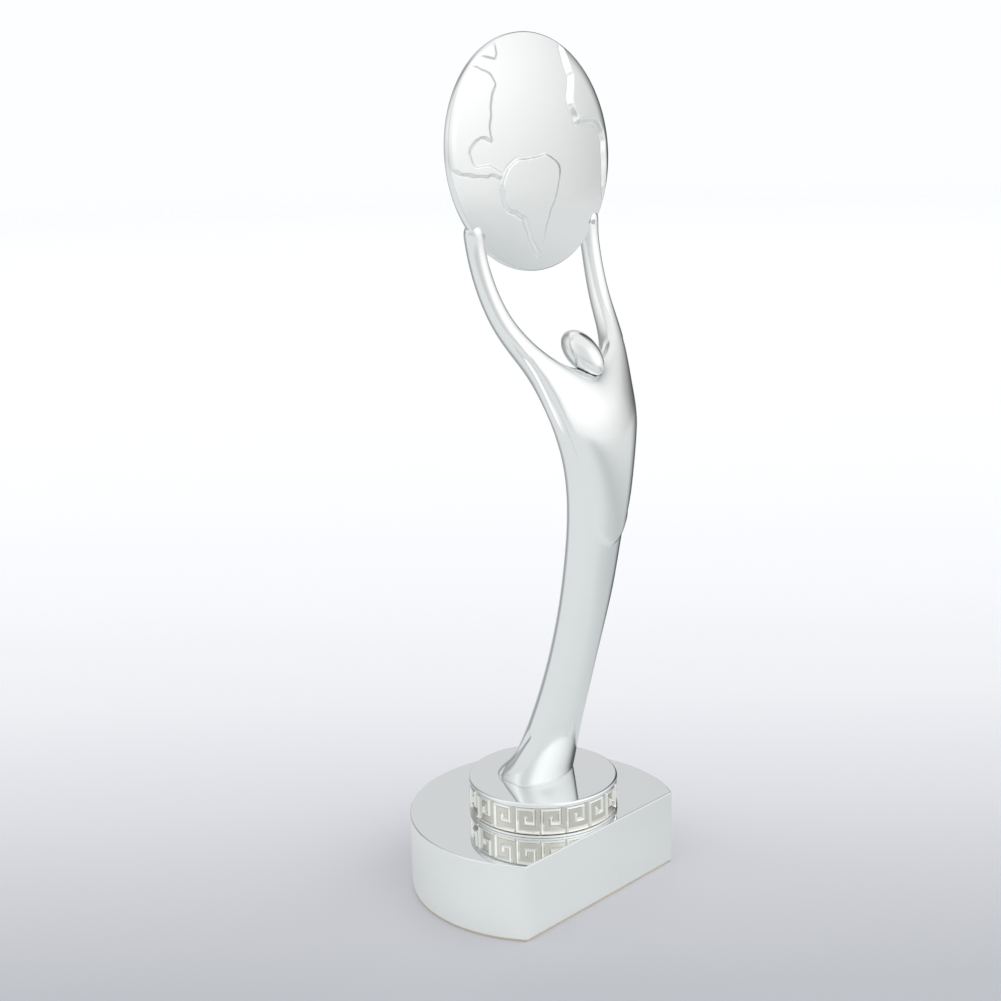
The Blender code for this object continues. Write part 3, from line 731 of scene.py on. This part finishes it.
def band_mesh():
    low, high = band_low.z - 0.4 * MM, band_high.z + 0.2 * MM
    inner = BAND_RADIUS - BAND_INSIDE
    columns = np.arange(BAND_COLUMNS)
    rows = np.linspace(0, 1, BAND_ROWS + 1)
    angle = 2 * np.pi * columns / BAND_COLUMNS
    across, up = np.meshgrid(columns * KEY_COUNT * KEY_GRID / BAND_COLUMNS % KEY_GRID, rows * KEY_GRID)
    radius = BAND_RADIUS - KEY_RELIEF * (1 - key_height(across, up))
    height = low + (high - low) * rows[:, None] + 0 * radius
    ring = np.stack([radius * np.cos(angle), radius * np.sin(angle), height], -1)
    back = [
        np.stack([inner * np.cos(angle), inner * np.sin(angle), np.full(BAND_COLUMNS, level)], -1)
        for level in (high, low)
    ]
    layers = np.concatenate([ring, np.stack(back)])
    count = len(layers)
    points = layers.reshape(-1, 3)
    first = np.arange(count)[:, None] * BAND_COLUMNS + columns
    after = np.arange(count)[:, None] * BAND_COLUMNS + (columns + 1) % BAND_COLUMNS
    above, above_after = np.roll(first, -1, 0), np.roll(after, -1, 0)
    faces = np.stack([first, after, above_after, above], -1).reshape(-1, 4)
    mesh = bpy.data.meshes.new("key_band")
    mesh.from_pydata(points.tolist(), [], faces.tolist())
    shade_smooth(mesh, 60)
    return mesh


def darken_hollows(finish, crown, depth):
    """Darkens a silver towards the axis, so that the hollows of the relief are darker."""
    tree = finish.node_tree
    shader = tree.nodes["Principled BSDF"]
    plate = shader.inputs["Base Color"].links[0].from_socket
    place = add_node(tree, "ShaderNodeTexCoord").outputs["Object"]
    level = add_node(
        tree, "ShaderNodeVectorMath", {0: place, 1: (1, 1, 0)}, operation="MULTIPLY"
    ).outputs["Vector"]
    out = add_node(tree, "ShaderNodeVectorMath", {0: level}, operation="LENGTH").outputs["Value"]
    undarkened = add_node(
        tree,
        "ShaderNodeMapRange",
        {"Value": out, "From Min": crown - depth, "From Max": crown - 0.3 * depth},
        interpolation_type="SMOOTHSTEP",
    ).outputs["Result"]
    mixed = add_node(
        tree, "ShaderNodeMix", {0: undarkened, 6: HOLLOW_COLOUR, 7: plate}, data_type="RGBA"
    ).outputs[2]
    tree.links.new(mixed, shader.inputs["Base Color"])


# the band's colour is darker towards its hollows
darken_hollows(RELIEF, BAND_RADIUS, KEY_RELIEF)
add_piece("key_band", band_mesh(), RELIEF, "bright_relief", "fret_band")

# %% [markdown]
# ## The figure
#
# The figure is one casting: feet together on the plate, a slender column of legs, a chest that swells
# and leans back, and two arms that part at the neck and rise to the disc. It is made as a sculptor's
# armature would be: rings of sixteen points at a few heights, each with its own width, depth and lean.
# At the shoulders every ring's outer points go on up one arm, so the whole figure is one smooth skin with
# no joins. Subdivision then rounds the rings, and a second pass presses the finer forms into the skin.

# %% Figure cage
FIGURE_HEIGHT = 186 * MM
HALF_WIDTH = 25.5 * MM
# height, distance back (shares of the height), half width, depth before, depth behind (shares of the
# half width), squareness, how far the sides hang (share of the height)
BODY_SECTIONS = [
    (-0.012, 0.003, 0.52, 0.29, 0.57, 0.5, 0.0),
    (0.006, 0.002, 0.53, 0.31, 0.56, 0.45, 0.0),
    (0.022, -0.003, 0.53, 0.31, 0.46, 0.3, 0.0),
    (0.048, -0.010, 0.51, 0.318, 0.31, 0.15, 0.0),
    (0.097, -0.026, 0.455, 0.308, 0.25, 0.1, 0.0),
    (0.172, -0.052, 0.393, 0.305, 0.23, 0.1, 0.0),
    (0.258, -0.078, 0.368, 0.30, 0.22, 0.1, 0.0),
    (0.344, -0.102, 0.388, 0.30, 0.21, 0.2, 0.0),
    (0.419, -0.119, 0.418, 0.305, 0.20, 0.4, 0.0),
    (0.484, -0.132, 0.432, 0.34, 0.20, 0.7, 0.0),
    (0.548, -0.139, 0.464, 0.355, 0.19, 0.9, 0.0),
    (0.613, -0.140, 0.545, 0.35, 0.18, 1.0, 0.005),
    (0.672, -0.135, 0.648, 0.345, 0.17, 1.0, 0.021),
    (0.726, -0.132, 0.725, 0.24, 0.165, 1.0, 0.048),
]
NECK = (0.752, -0.104)
# distance out, distance back, height, half width, half depth and roundness of each arm section
ARM_SECTIONS = [
    (0.667, -0.098, 0.763, 0.169, 0.157, 0.0),
    (0.831, -0.066, 0.804, 0.133, 0.141, 0.1),
    (0.910, -0.040, 0.841, 0.118, 0.137, 0.3),
    (0.969, -0.020, 0.887, 0.114, 0.133, 0.6),
    (1.004, -0.007, 0.933, 0.114, 0.133, 0.9),
    (1.01, -0.002, 0.966, 0.126, 0.138, 1.0),
    (1.03, -0.002, 0.988, 0.138, 0.135, 1.0),
]
FINGER_TIP = (1.02, -0.002, 1.002)
ROUND_SECTION = [(math.sin(math.pi * step / 8), -math.cos(math.pi * step / 8)) for step in range(9)]
CHEST_SECTION = [
    (0, -1), (0.42, -0.92), (0.80, -0.66), (0.985, -0.36), (1, 0.05),
    (0.985, 0.62), (0.85, 0.93), (0.45, 1.02), (0, 1.02),
]
ARM_FLAT_SECTION = [
    (-0.85, -0.80), (-0.10, -1), (0.70, -0.90), (0.95, -0.55), (1, 0),
    (0.95, 0.60), (0.70, 0.92), (-0.10, 1), (-0.85, 0.85), (-1, 0),
]
ARM_ROUND_ANGLES = (-54, -10, 28, 62, 90, 118, 152, 190, 234, 270)
ARM_ROUND_SECTION = [
    (math.sin(math.radians(angle)), -math.cos(math.radians(angle))) for angle in ARM_ROUND_ANGLES
]


def mixed(first, second, share):
    return [
        ((1 - share) * ax + share * bx, (1 - share) * ay + share * by)
        for (ax, ay), (bx, by) in zip(first, second)
    ]


def body_ring(height, back, half_width, before, behind, squareness, hang):
    """Sixteen points round the body, the first at the front centre."""
    half = []
    for across, along in mixed(ROUND_SECTION, CHEST_SECTION, squareness):
        depth = before if along < 0 else behind
        half.append(
            Vector((
                HALF_WIDTH * half_width * across,
                FIGURE_HEIGHT * back + HALF_WIDTH * depth * along,
                COLLAR_TOP + FIGURE_HEIGHT * (height - hang * abs(across) ** 1.5),
            ))
        )
    other = [Vector((-point.x, point.y, point.z)) for point in half[7:0:-1]]
    return half + other


def arm_point(out, back, height):
    return Vector((HALF_WIDTH * out, FIGURE_HEIGHT * back, COLLAR_TOP + FIGURE_HEIGHT * height))


def arm_ring(centre, along, half_width, half_depth, roundness):
    """Ten points round the +X arm, square to the way it runs."""
    along = along.normalized()
    depthwise = Vector((0, 1, 0))
    depthwise = (depthwise - depthwise.dot(along) * along).normalized()
    outward = depthwise.cross(along)
    if outward.x < 0:
        outward.negate()
    return [
        centre + HALF_WIDTH * (half_width * across * outward + half_depth * deep * depthwise)
        for across, deep in mixed(ARM_FLAT_SECTION, ARM_ROUND_SECTION, roundness)
    ]


def figure_cage(shape):
    """Body rings that part at the neck into two arms."""
    rings = [[shape.verts.new(point) for point in body_ring(*section)] for section in BODY_SECTIONS]
    shape.faces.new(list(reversed(rings[0])))
    for lower, upper in zip(rings, rings[1:]):
        bridge(shape, lower, upper)
    shoulders = rings[-1]
    neck = shape.verts.new(arm_point(0, NECK[1], NECK[0]))
    half = [point.co for point in shoulders[:9]]
    path = [sum(half, Vector()) / len(half)]
    path += [arm_point(*section[:3]) for section in ARM_SECTIONS]
    path += [arm_point(*FINGER_TIP)]
    for side in (1, -1):
        outside = shoulders[:9] if side == 1 else [shoulders[-step] for step in range(9)]
        ring = outside + [neck]
        for step, section in enumerate(ARM_SECTIONS, start=1):
            points = arm_ring(path[step], path[step + 1] - path[step - 1], *section[3:])
            upper = [shape.verts.new((side * point.x, point.y, point.z)) for point in points]
            bridge(shape, ring, upper)
            ring = upper
        tip = shape.verts.new((side * path[-1].x, path[-1].y, path[-1].z))
        for corner in range(len(ring)):
            shape.faces.new((ring[corner], ring[(corner + 1) % len(ring)], tip))


def smoothed_mesh(name, mesh, levels):
    """The mesh as subdivision leaves it, to be worked on further."""
    helper = bpy.data.objects.new(name, mesh)
    VISUAL.objects.link(helper)
    add_smoothing(helper, levels)
    graph = bpy.context.evaluated_depsgraph_get()
    made = bpy.data.meshes.new_from_object(helper.evaluated_get(graph))
    bpy.data.objects.remove(helper)
    return made


figure_skin = smoothed_mesh("figure_skin", mesh_from("figure_cage", figure_cage), 4)
print("figure skin:", len(figure_skin.vertices), "points")

# %% [markdown]
# ## The chest
#
# The chest is a plate that lies on the body like a shield. Its edge runs down from the outside of each
# arm, draws in over the ribs and closes in a round tongue above the waist. A modeller would lay it on in
# clay and draw a tool along its edge. Here the skin beside the plate is pressed in instead, over a short
# soft edge, and comes back to its own level further off, so the plate stands proud of it.

# %% Chest plate
# height above the table and half width of the plate there, in mm
CHEST_EDGE = [
    (123.4, 0.2), (124.4, 2.4), (126.2, 5.0), (129.8, 7.3), (133.2, 8.6), (139.8, 10.8), (146.2, 12.2),
    (152.6, 13.8), (162.2, 16.3), (171.3, 18.5), (177.3, 20.3), (183.2, 22.3), (189.1, 24.2), (196, 26.4),
]
CHEST_DROP = 0.9 * MM  # how far the skin sinks beside the plate
CHEST_SOFTNESS = 1.7 * MM
CHEST_FADE = 12 * MM  # how far off the skin is back at its own level
CHEST_TOP = 180 * MM  # the plate's edge fades out above this height,
CHEST_TOP_FADE = 14 * MM  # over this much
SKIN_ALLOWANCE = 0.02 * MM  # keeps this finer skin inside the part's coarser one


# lines drawn into both sides with a round tool, as seen from the side (distance back, height), and each
# one's depth and width, all in mm: the foot's hem, and the plate's edge up to the arm
SEAMS = [
    ([(9.5, 37.0), (7.3, 41.7), (3.6, 45.7), (-0.6, 50.6), (-4.5, 56.0)], 0.7, 0.9),
    ([(-17.8, 183.2), (-21.5, 177.3), (-24.4, 171.3), (-27.4, 162.2), (-29.1, 152.8), (-29.6, 146.3),
      (-29.9, 139.8), (-31.0, 133.2)], 0.5, 0.9),
]


def distance_to_line(points, line):
    nearest = np.full(len(points), 1e9)
    for start, end in zip(line, line[1:]):
        run = end - start
        share = np.clip((points - start) @ run / (run @ run), 0, 1)
        nearest = np.minimum(nearest, np.linalg.norm(points - start - share[:, None] * run, axis=1))
    return nearest


def seam_depth(points, normals):
    deepest = np.zeros(len(points))
    for line, depth, width in SEAMS:
        nearest = distance_to_line(points[:, 1:], np.array(line) * MM)
        deepest = np.maximum(deepest, depth * MM * np.exp(-((nearest / (width * MM)) ** 2)))
    return deepest * smooth_share((np.abs(normals[:, 0]) - 0.3) / 0.3)


def read_vectors(mesh, attribute):
    values = np.empty(len(mesh.vertices) * 3)
    mesh.vertices.foreach_get(attribute, values)
    return values.reshape(-1, 3)


def press_chest(mesh):
    points = read_vectors(mesh, "co")
    normals = read_vectors(mesh, "normal")
    heights, widths = (np.array(column) * MM for column in zip(*CHEST_EDGE))
    right_edge = np.column_stack([widths, heights])
    left_edge = np.column_stack([-widths, heights])[::-1]
    outline = np.concatenate([right_edge, left_edge])
    inside = distance_inside(points[:, [0, 2]], outline)
    faces_front = smooth_share((-normals[:, 1] - 0.05) / 0.3)
    fades_up = 1 - smooth_share((points[:, 2] - CHEST_TOP) / CHEST_TOP_FADE)
    sunk = CHEST_DROP * (1 - smooth_share(inside / CHEST_SOFTNESS + 0.5))
    sunk *= np.exp(-((np.maximum(-inside, 0) / CHEST_FADE) ** 2))
    push = -SKIN_ALLOWANCE - sunk * faces_front * fades_up - seam_depth(points, normals)
    points += push[:, None] * normals
    mesh.vertices.foreach_set("co", points.ravel())
    mesh.update()
    print("chest relief is up to", round(-push.min() / MM, 2), "mm deep")

# %% [markdown]
# ## The head
#
# The head is a plain egg that leans far back and lies in a hollow between the arms, as if the figure
# looked up at the disc. It is a separate casting, dropped into its socket with a hair-thin gap all round,
# which is what draws the dark line about it. The same profile, grown by the gap, cuts the socket.

# %% Head and its socket
HEAD_LENGTH = 17.8 * MM
HEAD_WIDTH = 9.8 * MM
HEAD_LEAN = math.radians(53)
HEAD_CENTRE = arm_point(0, -0.108, 0.777)
HEAD_GAP = 0.2 * MM


def egg_mesh(name, grow):
    steps = 48
    profile = []
    for step in range(steps + 1):
        up = math.cos(math.pi * step / steps)
        around = math.sin(math.pi * step / steps)
        radius = (HEAD_WIDTH / 2 + grow) * (1 + 0.08 * up) * around
        profile.append((radius if 0 < step < steps else 0, (HEAD_LENGTH / 2 + grow) * up))
    mesh = turned_mesh(name, profile, closed=False, steps=96)
    mesh.transform(Matrix.Translation(HEAD_CENTRE) @ Matrix.Rotation(-HEAD_LEAN, 4, "X"))
    return mesh


press_chest(figure_skin)
figure = add_piece("figure", figure_skin, SATIN, "satin_silver", "figure_body")
figure.data.shade_smooth()
add_piece("head_egg", egg_mesh("head_egg", 0), SATIN, "satin_silver", "head")
socket = bpy.data.objects.new("socket_cutter", egg_mesh("socket_cutter", HEAD_GAP))
bpy.context.scene.collection.objects.link(socket)
socket.hide_render = True
socket.hide_viewport = True
cut = figure.modifiers.new("head socket", "BOOLEAN")
cut.operation = "DIFFERENCE"
cut.solver = "EXACT"
cut.object = socket

# %% [markdown]
# ## The globe disc
#
# The disc is cast like a coin: a shallow dome with the land of a globe standing half to one millimetre
# proud and a plain rolled rim. Coasts are written as a few dozen points and rounded by corner cutting,
# because a caster's pattern never keeps a real coast's detail. The front is one even grid of points laid
# over the round by a square-to-disc map, so relief edges are equally crisp everywhere.

# %% Coasts
# how far each land stands proud, how wide its shore slopes, and how far from the rim it rolls over
LAND_FORM = {
    "north land": (0.55 * MM, 0.85 * MM, 1.6 * MM),
    "north island": (0.45 * MM, 0.80 * MM, 1.6 * MM),
    "south land": (0.55 * MM, 0.85 * MM, 1.6 * MM),
    "east land": (0.95 * MM, 2.30 * MM, 4.5 * MM),
}
EAST_SHORE = 1.9  # an east-facing shore is this many times as wide, so that it stays in view
# points in shares of the disc's radius, seen from the front, x to the right and y up
COASTS = {
    "north land": [
        (-1.2, 0.76), (-0.72, 0.74), (-0.56, 0.70), (-0.49, 0.66), (-0.455, 0.60), (-0.445, 0.57),
        (-0.49, 0.52), (-0.53, 0.44), (-0.56, 0.29), (-0.585, 0.20), (-0.555, 0.105), (-0.66, 0.155),
        (-0.75, 0.12), (-0.815, 0.05), (-0.79, -0.03), (-0.75, -0.085), (-0.67, -0.08), (-0.61, -0.068),
        (-0.545, -0.115), (-0.47, -0.15), (-0.49, -0.19), (-0.59, -0.15), (-0.65, -0.17), (-0.765, -0.153),
        (-0.86, -0.13), (-0.97, -0.098), (-1.2, -0.05),
    ],
    "north island": [
        (-0.70, 1.1), (-0.595, 0.815), (-0.48, 0.80), (-0.38, 0.78), (-0.37, 0.93), (-0.30, 1.1),
    ],
    "south land": [
        (-0.464, -0.185), (-0.40, -0.097), (-0.285, -0.042), (-0.134, -0.05), (-0.01, -0.017),
        (0.128, -0.058), (0.215, -0.137), (0.198, -0.22), (0.165, -0.346), (0.11, -0.44), (0.059, -0.53),
        (0.014, -0.66), (-0.017, -0.788), (-0.03, -0.88), (-0.06, -0.86), (-0.145, -0.74), (-0.20, -0.626),
        (-0.235, -0.547), (-0.307, -0.508), (-0.44, -0.44), (-0.472, -0.363), (-0.49, -0.265),
    ],
    "east land": [
        (0.42, 1.2), (0.44, 0.98), (0.458, 0.816), (0.478, 0.654), (0.508, 0.61), (0.46, 0.50), (0.425, 0.40),
        (0.455, 0.33), (0.486, 0.28), (0.50, 0.215), (0.64, 0.235), (0.80, 0.22), (0.90, 0.103),
        (0.895, -0.12), (0.885, -0.42), (0.95, -0.52), (1.3, -0.50), (1.3, 1.2),
    ],
}


def rounded_outline(points, passes=2):
    """Corner cutting: each pass replaces a corner by two points a quarter in from its ends."""
    outline = np.array(points)
    for _ in range(passes):
        after = np.roll(outline, -1, 0)
        outline = np.stack([0.75 * outline + 0.25 * after, 0.25 * outline + 0.75 * after], 1).reshape(-1, 2)
    return outline


# %% Disc front
DISC_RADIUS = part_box("disc_front")[1].x
DISC_SETBACK = 0.4 * MM
DISC_REACH = 0.9974  # share of its radius that the leaning disc reaches below its centre
DISC_CENTRE = Vector((0, DISC_SETBACK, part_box("disc_front")[0].z + DISC_RADIUS * DISC_REACH))
DISC_LEAN = math.radians(4.3)
DISC_PLACE = Matrix.Translation(DISC_CENTRE) @ Matrix.Rotation(math.pi / 2 - DISC_LEAN, 4, "X")
DISC_RIM = 2.4 * MM
DISC_DOME = 4 * MM
DISC_EDGE_ROUND = 0.7 * MM
DISC_HOLLOW = DISC_RADIUS - 6.1 * MM
DISC_HOLLOW_LEVEL = -0.4 * MM
PROBE = 0.1 * MM  # a short step east, to tell which way a coast faces
SHORE_GROOVE = 0.20 * MM  # a graver's line just off each west-facing coast
SHORE_GROOVE_WIDTH = 0.34 * MM
COAST_WOBBLE = 0.7 * MM
COAST_WOBBLE_SCALE = 300  # bumps per metre
DISC_GRID = 340


def dome(radius, rise, across):
    """Height of a shallow dome above its own rim."""
    ball = (across**2 + rise**2) / (2 * rise)
    return np.sqrt(np.maximum(ball**2 - radius**2, 0)) - (ball - rise)


def square_to_disc(grid):
    """An even grid over the unit square from -1 to 1, bent onto the unit disc."""
    line = np.linspace(-1, 1, grid + 1)
    x, y = np.meshgrid(line, line)
    sideways = np.abs(x) > np.abs(y)
    reach = np.where(sideways, x, y)
    share = np.divide(np.where(sideways, y, x), reach, out=np.zeros_like(x), where=reach != 0)
    angle = np.where(sideways, math.pi / 4 * share, math.pi / 2 - math.pi / 4 * share)
    return np.stack([reach * np.cos(angle), reach * np.sin(angle)], -1).reshape(-1, 2)


def disc_front_mesh():
    face_edge = DISC_RADIUS - DISC_EDGE_ROUND
    flat = square_to_disc(DISC_GRID) * face_edge
    radius = np.linalg.norm(flat, axis=1)
    wobble = COAST_WOBBLE * np.array([noise.noise((x, y, 0)) for x, y in flat * COAST_WOBBLE_SCALE])
    proud = np.zeros(len(flat))
    groove = np.zeros(len(flat))
    for land, outline in COASTS.items():
        relief, shore, roll = LAND_FORM[land]
        edge = rounded_outline(outline, 1) * DISC_RADIUS
        plain = distance_inside(flat, edge)
        rises_east = (distance_inside(flat + (PROBE, 0), edge) - plain) / PROBE
        faces_west = smooth_share(rises_east)
        shore = shore * (1 + (EAST_SHORE - 1) * smooth_share(-1.5 * rises_east))
        inside = plain + wobble * 0.7 * MM / shore
        rolled = np.clip((radius - face_edge) / roll + 1, 0, 1)
        risen = relief * smooth_share(inside / shore + 0.5) * (1 - 0.7 * rolled**2)
        proud = np.maximum(proud, risen)
        offshore = (inside + 0.5 * shore + 0.3 * SHORE_GROOVE_WIDTH) / SHORE_GROOVE_WIDTH
        groove = np.maximum(groove, SHORE_GROOVE * faces_west * np.exp(-(offshore**2)))
    groove *= smooth_share((face_edge - radius) / MM)
    height = DISC_RIM / 2 + dome(radius, DISC_DOME, face_edge) + proud - groove
    points = np.column_stack([flat, height]).tolist()
    side = DISC_GRID + 1
    corners = [row * side + column for row in range(DISC_GRID) for column in range(DISC_GRID)]
    faces = [(corner, corner + 1, corner + side + 1, corner + side) for corner in corners]
    shape = bmesh.new()
    verts = [shape.verts.new(point) for point in points]
    for face in faces:
        shape.faces.new([verts[corner] for corner in face])
    shape.edges.ensure_lookup_table()
    border = [edge for edge in shape.edges if edge.is_boundary]
    rim_steps = [
        (face_edge + DISC_EDGE_ROUND * math.sin(math.radians(angle)),
         DISC_RIM / 2 - DISC_EDGE_ROUND + DISC_EDGE_ROUND * math.cos(math.radians(angle)))
        for angle in (22.5, 45, 67.5, 90)
    ]
    rim_steps += [(radius, -height) for radius, height in reversed(rim_steps)]
    rim_steps += [(face_edge, -DISC_RIM / 2), (DISC_HOLLOW, -DISC_RIM / 2)]
    rim_steps += [(DISC_HOLLOW, DISC_HOLLOW_LEVEL), (0.5 * MM, DISC_HOLLOW_LEVEL)]
    for ring_radius, level in rim_steps:
        risen = bmesh.ops.extrude_edge_only(shape, edges=border)
        border = [item for item in risen["geom"] if isinstance(item, bmesh.types.BMEdge)]
        for vert in {end for edge in border for end in edge.verts}:
            across = math.hypot(vert.co.x, vert.co.y)
            vert.co = Vector((vert.co.x * ring_radius / across, vert.co.y * ring_radius / across, level))
    bmesh.ops.holes_fill(shape, edges=border)
    bmesh.ops.recalc_face_normals(shape, faces=shape.faces)
    mesh = bpy.data.meshes.new("disc_face")
    shape.to_mesh(mesh)
    shape.free()
    mesh.transform(DISC_PLACE)
    shade_smooth(mesh, 40)
    return mesh


add_piece("disc_face", disc_front_mesh(), SATIN, "satin_silver", "disc_front")

# %% [markdown]
# ## The disc's back
#
# The back is a plain domed cover that sits in a shallow seat, with a thin shadow gap round it. It hides
# the hollow of the casting and the heads of the pins, and nothing on it needs more than a clean turning.

# %% Disc back
COVER_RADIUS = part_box("disc_back")[1].x
COVER_BULGE = 1.5 * MM
cover_round = 0.6 * MM
cover_level = DISC_RIM / 2 + 0.2 * MM
cover_inner = COVER_RADIUS - cover_round
cover_steps = np.linspace(0, cover_inner, 24)
cover_profile = [(float(r), -float(cover_level + dome(r, COVER_BULGE, cover_inner))) for r in cover_steps]
cover_profile += [
    (cover_inner + cover_round * math.sin(math.radians(angle)),
     -cover_level + cover_round * (1 - math.cos(math.radians(angle))))
    for angle in (30, 60, 90)
]
cover_profile += [(COVER_RADIUS, -0.35 * MM), (0, -0.35 * MM)]
cover_mesh = turned_mesh("disc_cover", cover_profile, closed=False)
cover_mesh.transform(DISC_PLACE)
add_piece("disc_cover", cover_mesh, SATIN, "satin_silver", "disc_back")

# %% [markdown]
# ## Bring the scene up to date
#
# The view layer is brought up to date once every piece is in. The visible pieces must stay inside the
# box of the part they stand for, so that the trophy measures the same however it is drawn.

bpy.context.view_layer.update()
